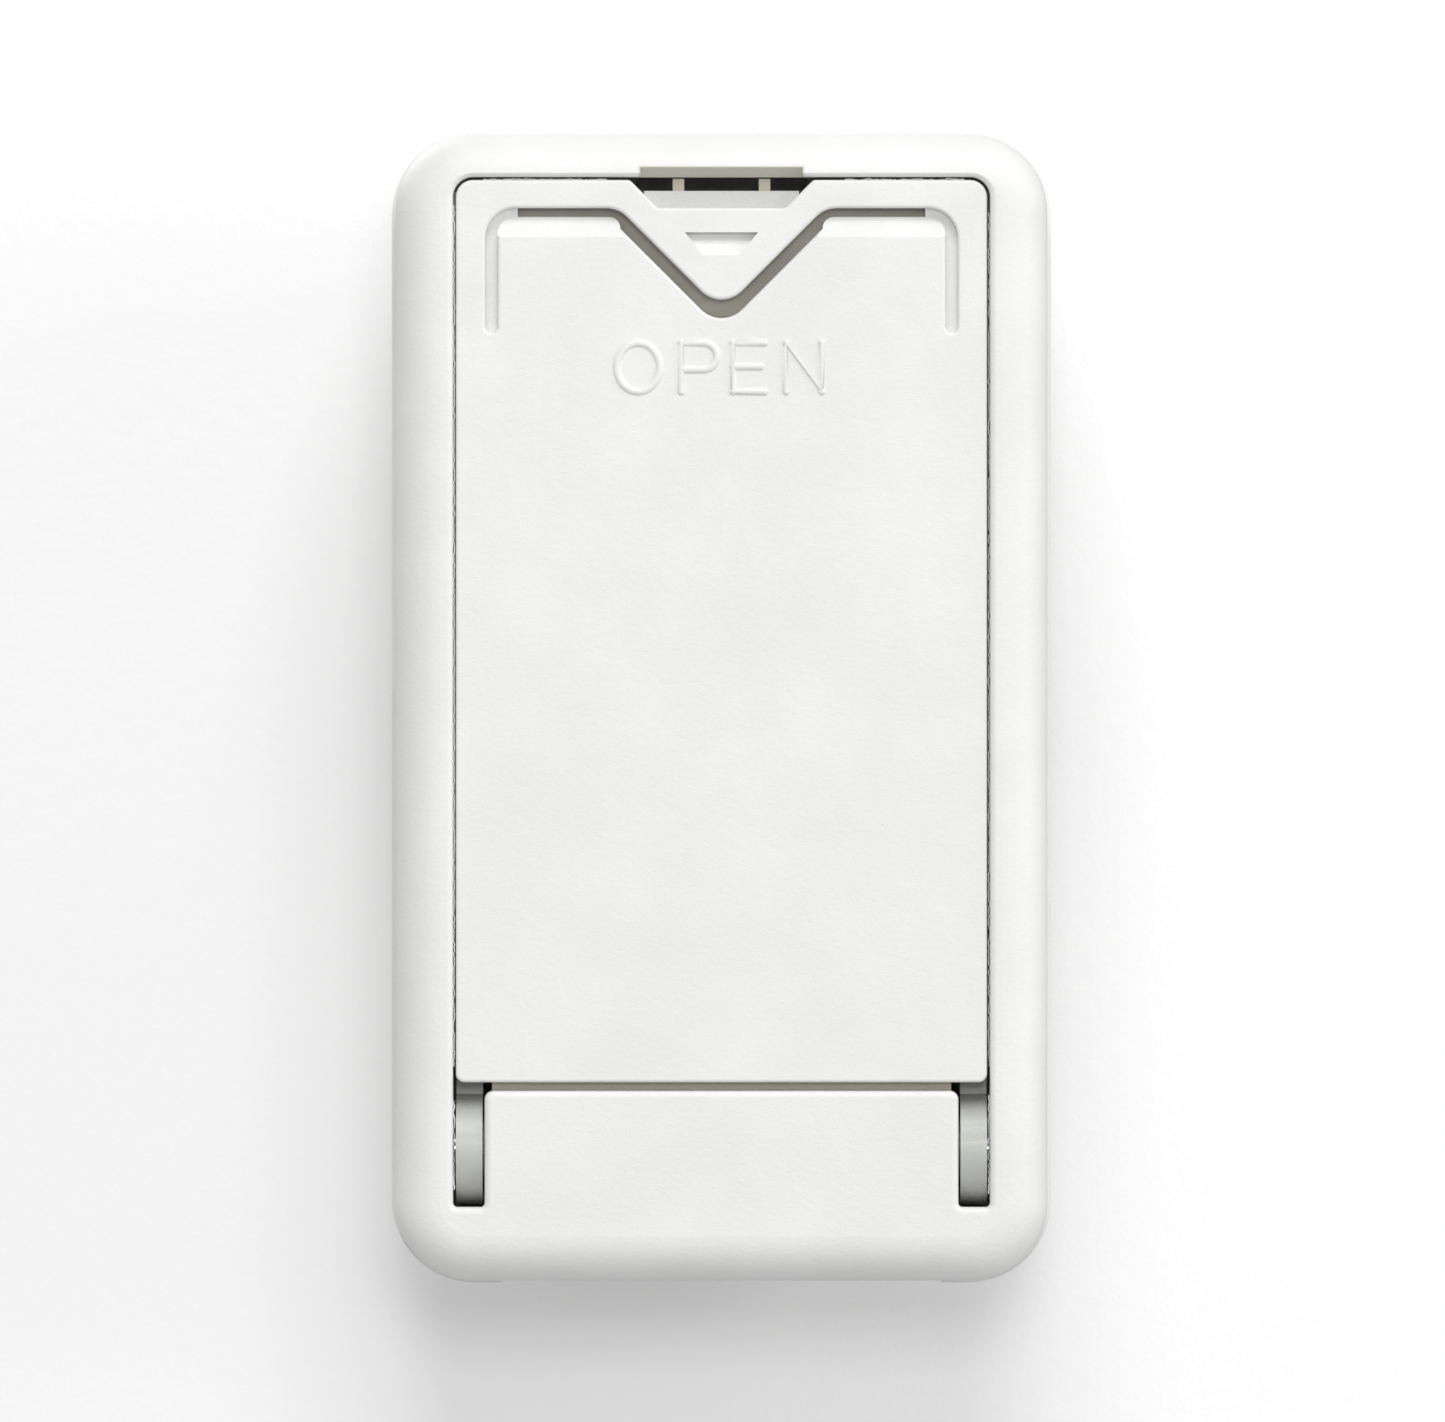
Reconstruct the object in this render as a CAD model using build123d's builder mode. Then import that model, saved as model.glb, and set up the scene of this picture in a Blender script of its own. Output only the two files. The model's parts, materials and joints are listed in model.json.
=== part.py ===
"""Stair gate latch: a wall box with a hinged release flap that lifts a bolt out of the gate's striker.

Millimetres. X is to the right seen from the front, Z is up and the wall is the plane y = 0, with the
latch standing out from it towards -Y. A depth is a distance out from the wall, so y = -depth.
The flap turns a pinion on its axle. The pinion lifts the rack of a slide, and the slide lifts the bolt.
"""
from build123d import *
from math import acos, cos, pi, radians, sin, tan
import os

# how far a cut runs past the faces it opens, and how near counts as touching a plane
overcut = 1.0
touch = 0.01

# ---- front cover ----
cover_width = 45.5
cover_height = 80.0
cover_front = 28.0
cover_back = 13.0
cover_wall = 2.0
cover_front_wall = 1.6
cover_corner = 5.4
cover_rounding = 3.2
cover_inner_rounding = 1.2
rim_step = 0.45
rim_depth = 2.0
pocket_side_frame = 4.05
pocket_top_frame = 3.05
pocket_bottom_frame = 5.2
pocket_corner = 1.4
pocket_rounding = 0.45
slot_corner = 0.3
panel_corner = 0.6
catch_recess_width = 11.3
catch_recess_height = 0.75
catch_recess_depth = 1.1
foot_ledge_half = 16.0
foot_ledge_depth = 1.5
foot_ledge_rise = 0.85
foot_ledge_drop = 0.9
flap_ledge_gap = 0.3
flap_ledge_thickness = 1.2
flap_ledge_width = 0.8
flap_ledge_root = 1.2
flap_ledge_bottom = -14.0
flap_ledge_tab_half = 7.2

# ---- flap ----
flap_sink = 0.3
flap_thickness = 1.8
flap_side_gap = 0.2
flap_top_gap = 0.2
flap_bottom_gap = 0.6
flap_corner = 1.2
flap_foot_corner = 0.6
flap_rounding = 0.22
flap_foot_lip = 0.25
flap_foot_bevel = 1.05
flap_rib_height = 1.0
flap_rib_width = 0.8
flap_rib_inset = 0.9
flap_rib_top = 24.5
flap_rib_bottom = -14.5
flap_boss_radius = 1.4
flap_boss_short = 0.1
flap_boss_clearance = 0.1
flap_pilot_skin = 0.7

# ---- sprung strip and tab in the flap's top ----
bar_height = 1.95
bar_gap = 0.6
vee_head_half = 7.05
vee_head_corner = 0.8
bar_slope = 1.4
groove_depth = 0.95
groove_web_width = 2.25
bar_to_tab_radius = 2.0
leg_width = 2.05
groove_width = 0.85
groove_length = 10.65
groove_outer_corner = 2.1
tab_half_width = 7.2
tab_joint_half = 6.6
tab_tip_radius = 2.0
tab_travel = 0.5
tab_end_gap = 0.8
notch_half_width = 4.45
notch_corner = 0.35
recess_top_drop = 1.7
recess_height = 1.6
recess_top_half = 2.55
recess_bottom_half = 1.28
recess_depth = 0.9
recess_foot_depth = 0.1
hook_plate_half = 5.4
hook_plate_rise = 1.2
hook_plate_overlap = 0.8
hook_plate_thickness = 1.0
nose_offset = 3.0
nose_width = 0.8
nose_thickness = 0.8
nose_gap = 0.1
nose_root = 0.1

# ---- plate behind the tab ----
backing_half = 15.2
backing_bottom = 25.0
backing_top = 35.3
backing_corner = 1.5
backing_thickness = 0.8
backing_gap = 0.1
backing_seat_radius = 1.5
backing_peg_radius = 0.8
backing_peg_length = 1.1
backing_peg_x = 12.5
backing_peg_heights = (27.0, 32.2)
backing_buffer_gap = 0.3

# ---- hinge ----
disc_radius = 3.9
disc_end_gap = 0.1
panel_reach = 4.1
arm_thickness = 1.85
arm_side_gap = 0.2
arm_inner_gap = 0.15
axle_radius = 2.2
hinge_pin_radius = 1.25
hinge_pin_bevel = 0.25
hinge_running_clearance = 0.05
hinge_press_clearance = 0.02
neck_depth = 3.3
neck_inset = 1.4
pad_width = 6.45
pad_bottom_rise = 6.8
pad_height = 8.0
pad_thickness = 2.7
flap_screw_inset = 2.0
ear_gap = 0.55
ear_thickness = 1.5
ear_radius = 2.1
washer_thickness = 0.4
washer_radius = 2.0

# ---- pinion and rack ----
gear_module = 0.8
gear_teeth = 8
gear_pressure_angle = radians(30)
gear_addendum = 0.64
gear_dedendum = 0.84
gear_backlash = 0.1
gear_half_width = 4.0
flank_steps = 4
tooth_buried_share = 0.8
rack_tooth_buried = 0.2
pinion_teeth = 3
flap_opening = 90

# ---- rear housing ----
block_half_width = 15.5
block_half_height = 36.0
block_corner = 3.0
block_inner_corner = 2.0
block_wall = 2.0
web_thickness = 2.4
flange_thickness = 2.0
flange_fit = 0.1
core_top = 7.0
core_bottom = -8.0
housing_boss_floor = 3.0

# ---- mounting plate and the screws into the wall ----
plate_thickness = 1.5
wall_screw_upper = 27.5
wall_screw_spacing = 45.0
wall_screw_hole = 2.25
wall_screw_head_pocket = 4.5
wall_screw_boss = 6.0
plate_screw_x = 12.0
plate_screw_z = 32.0
plate_screw_boss = 3.0
plate_pilot_extra = 1.0

# ---- striker slot and bolt ----
strike_gap = 4.3
strike_top = 0.15
strike_depth = 8.1
channel_sheet = 0.8
channel_back_gap = 0.1
channel_end_gap = 0.2
bolt_radius = 2.5
bolt_clearance = 0.08
bolt_entry = 0.4
bolt_tip_bevel = 0.8
bush_radius = 4.0
bush_flange_radius = 4.8
bush_flange = 1.0
bush_bevel = 0.25
socket_radius = 3.6
socket_depth = 2.4
cross_pin_radius = 0.75
cross_pin_rise = 3.0

# ---- slide carriage ----
slide_gap = 0.1
slide_thickness = 2.4
slide_half_width = 11.0
slide_top = 16.0
slide_end_drop = 1.2
slide_window_half = 5.2
slide_window_top = -13.0
window_end_rise = 3.6
rack_end_drop = 6.5
lug_half_width = 4.5
lug_behind_bolt = 3.5
lug_bottom = 8.0
lug_top = 14.0
lug_wall = 1.6
lug_slot_gap = 0.6
shoulder_inner = 6.0
shoulder_height = 2.0
shoulder_depth = 5.3

# ---- rails and keepers ----
rail_gap = 0.2
rail_width = 2.0
rail_top = 13.5
rail_bottom = -24.0
keeper_overlap = 1.3
keeper_thickness = 1.2
keeper_corner = 0.6
keeper_screw_heights = (-18.0, 8.0)

# ---- return springs ----
spring_x = 8.5
spring_radius = 2.5
spring_wire = 0.7
spring_back_gap = 0.3
spring_length = 17.0
spring_peg_radius = 1.4
spring_peg_length = 2.3

# ---- cover screws and buffers ----
cover_boss_inner = 6.0
cover_boss_outer = 14.0
cover_boss_depth = 5.6
cover_boss_gap = 0.3
cover_boss_bottom_height = 4.2
cover_screw_x = 11.0
cover_screw_out = 2.8
buffer_x = 14.2
buffer_z = 29.5
buffer_radius = 1.4
buffer_cap = 0.9
buffer_gap = 0.3
buffer_stem_radius = 0.7
buffer_stem = 2.0
buffer_hole_extra = 0.3
buffer_rounding = 0.3
buffer_post_radius = 1.9

# ---- screws: (head radius, head height, shank radius, length under the head's top or seat) ----
screw_fit = 0.02
cover_screw_size = (2.1, 1.1, 1.1, 5.4)
plate_screw_size = (2.2, 1.1, 1.2, 7.5)
flap_screw_size = (1.9, 0.9, 0.8, 3.5)
keeper_screw_size = (1.3, 0.8, 0.7, 3.4)
cover_sink_angle = 80
plate_sink_angle = 84
pan_crown_share = 0.8
cross_recess_length = 0.62
cross_recess_width = 0.16

# ---- places worked out from the sizes above ----
cover_half_width = cover_width / 2
cover_half_height = cover_height / 2
inner_half_width = cover_half_width - cover_wall
inner_half_height = cover_half_height - cover_wall
inner_front = cover_front - cover_front_wall
pocket_half = cover_half_width - pocket_side_frame
pocket_top = cover_half_height - pocket_top_frame
slot_bottom = -cover_half_height + pocket_bottom_frame
catch_recess_slope = catch_recess_height / catch_recess_depth

flap_front = cover_front - flap_sink
flap_back = flap_front - flap_thickness
flap_ledge_front = flap_back - flap_ledge_gap
flap_ledge_back = flap_ledge_front - flap_ledge_thickness
axis_depth = flap_front - disc_radius
axis_height = slot_bottom + disc_radius + disc_end_gap
panel_top = axis_height + panel_reach
flap_half = pocket_half - flap_side_gap
flap_top = pocket_top - flap_top_gap
flap_bottom = panel_top + flap_bottom_gap

bar_bottom = flap_top - bar_height
panel_head = bar_bottom - bar_gap
leg_inner = flap_half - leg_width
groove_inner = leg_inner - groove_width
bar_gap_end = leg_inner - groove_web_width
leg_root = flap_top - groove_length + groove_width / 2
tab_gap = tab_travel + tab_end_gap

arm_outer = pocket_half - arm_side_gap
arm_inner = arm_outer - arm_thickness
slot_inner = arm_inner - arm_inner_gap
pad_inner_half = arm_outer - pad_width
pad_bottom = axis_height + pad_bottom_rise
pad_top = pad_bottom + pad_height
pad_back = flap_back - pad_thickness
flap_screw_x = (pad_inner_half + arm_inner) / 2
flap_pilot_end = flap_front - flap_pilot_skin
flap_screw_heights = (pad_bottom + flap_screw_inset, pad_top - flap_screw_inset)
backing_front = flap_back - backing_gap
backing_back = backing_front - backing_thickness
ear_inner = arm_outer + ear_gap
ear_outer = ear_inner + ear_thickness

pitch_radius = gear_module * gear_teeth / 2
tip_radius = pitch_radius + gear_addendum
root_radius = pitch_radius - gear_dedendum
base_radius = pitch_radius * cos(gear_pressure_angle)
tooth_pitch = pi * gear_module
rack_line = axis_depth - pitch_radius
slide_travel = pitch_radius * radians(flap_opening)

flange_front = cover_back + flange_thickness
web_back = flange_front - web_thickness
flange_half_width = inner_half_width - flange_fit
flange_half_height = inner_half_height - flange_fit
flange_corner = cover_corner - cover_wall - flange_fit
core_half = block_half_width - block_wall
slide_back = flange_front + slide_gap
slide_front = slide_back + slide_thickness
slide_bottom = axis_height - slide_end_drop
slide_window_bottom = axis_height + window_end_rise
tongue_bottom = axis_height - rack_end_drop
rail_inner = slide_half_width + rail_gap
rail_outer = rail_inner + rail_width
rail_front = slide_front + slide_gap
keeper_inner = slide_half_width - keeper_overlap
keeper_front = rail_front + keeper_thickness
rail_middle = (rail_inner + rail_outer) / 2
keeper_hole_radius = keeper_screw_size[2] + screw_fit

channel_back = plate_thickness + channel_back_gap
strike_back = channel_back + channel_sheet
strike_front = strike_back + strike_depth
strike_bottom = strike_top - strike_gap
bolt_depth = (strike_back + strike_front) / 2
bolt_bore = bolt_radius + bolt_clearance
bolt_bottom = strike_bottom - bolt_entry
bolt_top = lug_top - lug_wall
cross_pin_height = lug_bottom + cross_pin_rise
lug_back = bolt_depth - lug_behind_bolt
socket_bottom = strike_bottom - channel_sheet - socket_depth

spring_depth = flange_front + spring_back_gap + spring_radius
spring_top = slide_top + spring_length
cover_boss_top = inner_half_height - cover_boss_gap
cover_screw_depth = flange_front + cover_screw_out
buffer_front = flap_back - buffer_gap
buffer_seat = buffer_front - buffer_cap
buffer_stem_end = buffer_seat - buffer_stem
plate_pilot_radius = plate_screw_size[2] + screw_fit
plate_pilot_end = plate_screw_size[3] + plate_pilot_extra
boss_floor = plate_thickness + housing_boss_floor
wall_screw_lower = wall_screw_upper - wall_screw_spacing
wall_screw_heights = (wall_screw_upper, wall_screw_lower)


def front(depth):
    """Plane parallel to the wall at a depth: local x is X, local y is Z, and it faces the front."""
    return Plane.XZ.offset(depth)


def side(x):
    """Plane across the latch at x: local x is depth and local y is Z. It faces -X."""
    return Plane(origin=(x, 0, 0), x_dir=(0, -1, 0), z_dir=(-1, 0, 0))


def level(z):
    """Horizontal plane at height z: local y is Y, so a depth is entered with a minus sign."""
    return Plane.XY.offset(z)


def frame_rectangle(left, right, bottom, top):
    """Rectangle between four limits, centred where they put it, in the sketch being built."""
    with Locations(((left + right) / 2, (bottom + top) / 2)):
        Rectangle(right - left, top - bottom)


def box_between(x_limits, depth_limits, z_limits, mode=Mode.ADD):
    """Box between two x, two depths and two heights, in the part being built."""
    with BuildSketch(front(depth_limits[0])) as face:
        frame_rectangle(x_limits[0], x_limits[1], z_limits[0], z_limits[1])
    extrude(face.sketch, amount=depth_limits[1] - depth_limits[0], mode=mode)


def box_pair(x_limits, depth_limits, z_limits, mode=Mode.ADD):
    """The box of box_between and its mirror image across x = 0."""
    box_between(x_limits, depth_limits, z_limits, mode)
    box_between((-x_limits[1], -x_limits[0]), depth_limits, z_limits, mode)


def rod_out(x, z, radius, depth_limits, mode=Mode.ADD):
    """Round rod or hole that stands out from the wall at x, z."""
    with BuildSketch(front(depth_limits[0])) as face:
        with Locations((x, z)):
            Circle(radius)
    extrude(face.sketch, amount=depth_limits[1] - depth_limits[0], mode=mode)


def rod_up(x, depth, radius, z_limits, mode=Mode.ADD):
    """Upright round rod or hole at x and a depth."""
    with BuildSketch(level(z_limits[0])) as face:
        with Locations((x, -depth)):
            Circle(radius)
    extrude(face.sketch, amount=z_limits[1] - z_limits[0], mode=mode)


def screw(size, countersunk):
    """Cross-recess screw on Z. Its head's top, or a pan head's seat, is at z = 0 and its tip is below."""
    head_radius, head_height, shank_radius, length = size
    head_top = 0 if countersunk else head_height
    if countersunk:
        head = [(head_radius, 0), (shank_radius, -head_height)]
    else:
        crown = (head_radius * pan_crown_share, head_top)
        head = [crown, (head_radius, head_height / 2), (head_radius, 0), (shank_radius, 0)]
    with BuildPart() as body:
        with BuildSketch(Plane.XZ):
            with BuildLine():
                Polyline((0, head_top), *head, (shank_radius, -length), (0, -length), close=True)
            make_face()
        revolve(axis=Axis.Z)
        with BuildSketch(level(head_top)):
            Rectangle(2 * head_radius * cross_recess_length, 2 * head_radius * cross_recess_width)
            Rectangle(2 * head_radius * cross_recess_width, 2 * head_radius * cross_recess_length)
        extrude(amount=-head_height / 2, mode=Mode.SUBTRACT)
    return body.part


def front_edges(part, depth):
    """Edges of a part that lie in the plane at a depth."""
    return part.edges().filter_by_position(Axis.Y, -depth - 0.001, -depth + 0.001)


# ---------------------------------------------------------------- front cover

with BuildPart() as pocket_block:
    with BuildSketch(front(cover_back - overcut)):
        Rectangle(2 * cover_width, 2 * cover_height)
        with BuildLine():
            Polyline(
                (0, pocket_top),
                (pocket_half, pocket_top),
                (pocket_half, slot_bottom),
                (slot_inner, slot_bottom),
                (slot_inner, panel_top),
                (0, panel_top),
            )
            mirror(about=Plane.YZ)
        make_face(mode=Mode.SUBTRACT)
    extrude(amount=cover_front - cover_back + overcut)
    pocket_corners = ((pocket_top, pocket_corner), (slot_bottom, slot_corner), (panel_top, panel_corner))
    for height, radius in pocket_corners:
        upright_edges = pocket_block.edges().filter_by(Axis.Y)
        fillet(upright_edges.filter_by_position(Axis.Z, height - touch, height + touch), radius)
    rim_edges = front_edges(pocket_block, cover_front)
    rim_edges = rim_edges.filter_by_position(Axis.X, -pocket_half - touch, pocket_half + touch)
    fillet(rim_edges.filter_by_position(Axis.Z, slot_bottom - touch, pocket_top + touch), pocket_rounding)

with BuildPart() as cover_cavity:
    with BuildSketch(front(cover_back)):
        RectangleRounded(2 * inner_half_width, 2 * inner_half_height, cover_corner - cover_wall)
    extrude(amount=inner_front - cover_back)
    fillet(front_edges(cover_cavity, inner_front), cover_inner_rounding)

cover_screw = screw(cover_screw_size, countersunk=True)
cover_screw_places = [
    Plane(origin=(x, -cover_screw_depth, end * cover_half_height), z_dir=(0, 0, end))
    for x in (-cover_screw_x, cover_screw_x)
    for end in (-1, 1)
]

with BuildPart() as front_cover:
    with BuildSketch(front(cover_back)):
        RectangleRounded(cover_width, cover_height, cover_corner)
    extrude(amount=cover_front - cover_back)
    fillet(front_edges(front_cover, cover_front), cover_rounding)
    with BuildSketch(front(cover_back)):
        RectangleRounded(cover_width + 2 * rim_step, cover_height + 2 * rim_step, cover_corner + rim_step)
        with Locations((0, -cover_half_height - rim_step / 2)):
            Rectangle(2 * block_half_width, rim_step, mode=Mode.SUBTRACT)
    extrude(amount=rim_depth)
    add(cover_cavity.part, mode=Mode.SUBTRACT)
    add(pocket_block.part, mode=Mode.INTERSECT)
    # the ledge behind the gap under the flap, clear of the pinion and of the flap's foot as it swings
    box_between(
        (-foot_ledge_half, foot_ledge_half),
        (inner_front - foot_ledge_depth, inner_front),
        (panel_top - foot_ledge_drop, panel_top + foot_ledge_rise),
    )
    # the ledge behind the flap's sides and top, left out behind the tab, and its roots on the front wall
    ledge_depths = (flap_ledge_back, flap_ledge_front)
    root_depths = (flap_ledge_back, inner_front)
    ledge_heights = (flap_ledge_bottom, pocket_top)
    ledge_top = (pocket_top - flap_ledge_width, pocket_top)
    root_outer = pocket_half + flap_ledge_root
    root_top = (pocket_top, pocket_top + flap_ledge_root)
    box_pair((pocket_half - flap_ledge_width, pocket_half), ledge_depths, ledge_heights)
    box_pair((pocket_half, root_outer), root_depths, ledge_heights)
    box_pair((flap_ledge_tab_half, pocket_half), ledge_depths, ledge_top)
    box_pair((flap_ledge_tab_half, root_outer), root_depths, root_top)
    # the sloped finger recess above the hook plate
    with BuildSketch(side(catch_recess_width / 2)):
        with BuildLine():
            Polyline(
                (cover_front + overcut, pocket_top - overcut),
                (cover_front + overcut, pocket_top + catch_recess_height + overcut * catch_recess_slope),
                (cover_front, pocket_top + catch_recess_height),
                (cover_front - catch_recess_depth, pocket_top),
                (cover_front - catch_recess_depth, pocket_top - overcut),
                close=True,
            )
        make_face()
    extrude(amount=catch_recess_width, mode=Mode.SUBTRACT)
    with Locations(*cover_screw_places):
        CounterSinkHole(
            radius=cover_screw_size[2] + screw_fit,
            counter_sink_radius=cover_screw_size[0] + screw_fit,
            depth=cover_wall + overcut,
            counter_sink_angle=cover_sink_angle,
        )

with BuildPart() as cover_screws:
    with Locations(*cover_screw_places):
        add(cover_screw)

# ---------------------------------------------------------------- flap, sprung strips and tab

tab_tip = bar_bottom - tab_half_width
notch_top_half = notch_half_width + bar_height
recess_top = bar_bottom - recess_top_drop
panel_crest = panel_head - bar_slope

groove_floor = flap_front - groove_depth

with BuildPart() as flap_panel:
    with BuildSketch(front(flap_back)) as panel_foot:
        frame_rectangle(-flap_half, flap_half, flap_bottom, leg_root)
        fillet(panel_foot.vertices().group_by(Axis.Y)[0], flap_foot_corner)
    extrude(amount=flap_thickness)
    with BuildSketch(front(flap_back)) as panel_upper:
        frame_rectangle(-groove_inner, groove_inner, leg_root - overcut, panel_head)
        fillet(panel_upper.vertices().group_by(Axis.Y)[-1], groove_outer_corner - groove_width)
    extrude(amount=flap_thickness)
    with BuildSketch(front(groove_floor)):
        with Locations(
            (-(groove_inner + groove_width / 2), leg_root),
            (groove_inner + groove_width / 2, leg_root),
        ):
            Circle(groove_width / 2)
    extrude(amount=groove_depth, mode=Mode.SUBTRACT)
    with BuildSketch(front(flap_back)):
        with BuildLine():
            cut_tip = tab_tip - tab_gap
            cut_left = (-vee_head_half, cut_tip + vee_head_half)
            cut_right = (vee_head_half, cut_tip + vee_head_half)
            FilletPolyline(cut_left, (0, cut_tip), cut_right, radius=tab_tip_radius)
            cut_head = panel_head + overcut
            Polyline(cut_left, (-vee_head_half, cut_head), (vee_head_half, cut_head), cut_right)
        make_face()
    extrude(amount=flap_thickness, mode=Mode.SUBTRACT)
    head_corners = flap_panel.edges().filter_by(Axis.Y)
    head_corners = head_corners.filter_by_position(Axis.Z, panel_head - touch, panel_head + touch)
    head_corners = head_corners.filter_by_position(Axis.X, -vee_head_half - touch, vee_head_half + touch)
    fillet(head_corners, vee_head_corner)
    # the slope down to the gap under the bars
    with BuildSketch(side(groove_inner)):
        with BuildLine():
            Polyline(
                (flap_front, panel_crest),
                (flap_front, panel_head + overcut),
                (groove_floor, panel_head + overcut),
                (groove_floor, panel_head),
                close=True,
            )
        make_face()
    extrude(amount=2 * groove_inner, mode=Mode.SUBTRACT)
    # the thin floor of the two upright grooves
    with BuildSketch(front(flap_back)) as groove_web:
        frame_rectangle(bar_gap_end, leg_inner, leg_root - groove_width / 2, bar_bottom)
        fillet(groove_web.vertices().sort_by_distance((leg_inner, bar_bottom))[0], groove_outer_corner)
        mirror(about=Plane.YZ)
    extrude(amount=flap_thickness - groove_depth)
    # the bevel that lets the foot swing past the lower panel
    with BuildSketch(side(flap_half)):
        with BuildLine():
            Polyline(
                (flap_front - flap_foot_lip, flap_bottom),
                (flap_front - flap_foot_lip, flap_bottom - overcut),
                (flap_back, flap_bottom - overcut),
                (flap_back, flap_bottom + flap_foot_bevel),
                close=True,
            )
        make_face()
    extrude(amount=2 * flap_half, mode=Mode.SUBTRACT)
    leg_joints = front_edges(flap_panel, flap_front)
    leg_joints = leg_joints.filter_by_position(Axis.Z, leg_root - touch, leg_root + touch)
    leg_joints = leg_joints.filter_by(lambda e: abs(e.center().X) > leg_inner)
    rounded = [e for e in front_edges(flap_panel, flap_front) if e not in leg_joints]
    fillet(rounded, flap_rounding)
    # stiffening rib round the back and the bosses that the axle's pads fit over
    rib_half = groove_inner - flap_rib_inset
    rib_depths = (flap_back - flap_rib_height, flap_back)
    box_pair((rib_half - flap_rib_width, rib_half), rib_depths, (flap_rib_bottom, flap_rib_top))
    for height in (flap_rib_bottom, flap_rib_top - flap_rib_width):
        box_between((-rib_half, rib_half), rib_depths, (height, height + flap_rib_width))
    flap_screw_spots = [(x, z) for x in (-flap_screw_x, flap_screw_x) for z in flap_screw_heights]
    for x, z in flap_screw_spots:
        rod_out(x, z, flap_boss_radius, (pad_back + flap_boss_short, flap_back))
        rod_out(x, z, flap_screw_size[2] + screw_fit, (pad_back, flap_pilot_end), mode=Mode.SUBTRACT)
    # seats and pegs that the plate behind the tab is staked on
    backing_pegs = [(x, z) for x in (-backing_peg_x, backing_peg_x) for z in backing_peg_heights]
    for x, z in backing_pegs:
        rod_out(x, z, backing_seat_radius, (backing_front, flap_back))
        rod_out(x, z, backing_peg_radius, (backing_front - backing_peg_length, backing_front))

with BuildPart() as tab_backing:
    with BuildSketch(front(backing_back)) as backing_face:
        frame_rectangle(-backing_half, backing_half, backing_bottom, backing_top)
        fillet(backing_face.vertices(), backing_corner)
        with Locations(*backing_pegs):
            Circle(backing_peg_radius + screw_fit, mode=Mode.SUBTRACT)
        # room for the buffers, which meet the flap itself
        with Locations((-buffer_x, buffer_z), (buffer_x, buffer_z)):
            Circle(buffer_radius + backing_buffer_gap, mode=Mode.SUBTRACT)
    extrude(amount=backing_thickness)

with BuildPart() as sprung_strip:
    # both legs and bars and the tab between them, as one moulding
    with BuildSketch(front(flap_back)) as strip_face:
        with BuildLine():
            FilletPolyline(
                (-leg_inner, leg_root),
                (-leg_inner, bar_bottom),
                (-tab_half_width, bar_bottom),
                (0, tab_tip),
                (tab_half_width, bar_bottom),
                (leg_inner, bar_bottom),
                (leg_inner, leg_root),
                radius=[
                    groove_outer_corner,
                    bar_to_tab_radius,
                    tab_tip_radius,
                    bar_to_tab_radius,
                    groove_outer_corner,
                ],
            )
            FilletPolyline(
                (leg_inner, leg_root),
                (flap_half, leg_root),
                (flap_half, flap_top),
                (notch_top_half, flap_top),
                (notch_half_width, bar_bottom),
                (-notch_half_width, bar_bottom),
                (-notch_top_half, flap_top),
                (-flap_half, flap_top),
                (-flap_half, leg_root),
                (-leg_inner, leg_root),
                radius=[
                    0,
                    flap_corner,
                    notch_corner,
                    notch_corner,
                    notch_corner,
                    notch_corner,
                    flap_corner,
                    0,
                ],
            )
        make_face()
    extrude(amount=flap_thickness)
    strip_rounded = [
        e for e in front_edges(sprung_strip, flap_front) if e.bounding_box().max.Z > leg_root + touch
    ]
    fillet(strip_rounded, flap_rounding)

with BuildPart() as strip_right:
    add(sprung_strip.part)
    box_between(
        (tab_joint_half, flap_half), (flap_back, flap_front), (leg_root, flap_top), mode=Mode.INTERSECT
    )

with BuildPart() as strip_left:
    mirror(strip_right.part, about=Plane.YZ)

# the finger notch, whose floor ramps up to the tab's face
with BuildPart() as tab_recess:
    recess_foot = recess_top - recess_height
    with BuildSketch(front(flap_front - recess_depth)):
        with BuildLine():
            Polyline(
                (-recess_top_half, recess_top),
                (recess_top_half, recess_top),
                (recess_bottom_half, recess_foot),
                (-recess_bottom_half, recess_foot),
                close=True,
            )
        make_face()
    extrude(amount=recess_depth + overcut)
    with BuildSketch(side(recess_top_half)):
        with BuildLine():
            Polyline(
                (flap_front - recess_depth, recess_top),
                (flap_front + overcut, recess_top),
                (flap_front + overcut, recess_foot),
                (flap_front - recess_foot_depth, recess_foot),
                close=True,
            )
        make_face()
    extrude(amount=2 * recess_top_half, mode=Mode.INTERSECT)

with BuildPart() as push_tab:
    add(sprung_strip.part)
    box_between(
        (-tab_joint_half, tab_joint_half), (flap_back, flap_front), (tab_tip, flap_top), mode=Mode.INTERSECT
    )
    add(tab_recess.part, mode=Mode.SUBTRACT)
    hook_plate_top = bar_bottom + hook_plate_rise
    box_between(
        (-hook_plate_half, hook_plate_half),
        (flap_back, flap_back + hook_plate_thickness),
        (bar_bottom - hook_plate_overlap, hook_plate_top),
    )
    box_pair(
        (nose_offset - nose_width / 2, nose_offset + nose_width / 2),
        (flap_back, flap_back + nose_thickness),
        (hook_plate_top - nose_root, pocket_top - nose_gap),
    )

# ---------------------------------------------------------------- hinge axle with its pinion


def involute(angle):
    """Involute function of a pressure angle."""
    return tan(angle) - angle


def half_tooth_angle(radius):
    """Half of a pinion tooth's angle, seen from the axle, at a radius on its involute flank."""
    half_at_pitch = (tooth_pitch / 2 - gear_backlash) / (2 * pitch_radius)
    at_radius = acos(min(1, base_radius / radius))
    return half_at_pitch + involute(gear_pressure_angle) - involute(at_radius)


def polar(radius, angle):
    """Point at a radius and an angle in radians."""
    return (radius * cos(angle), radius * sin(angle))


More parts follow.
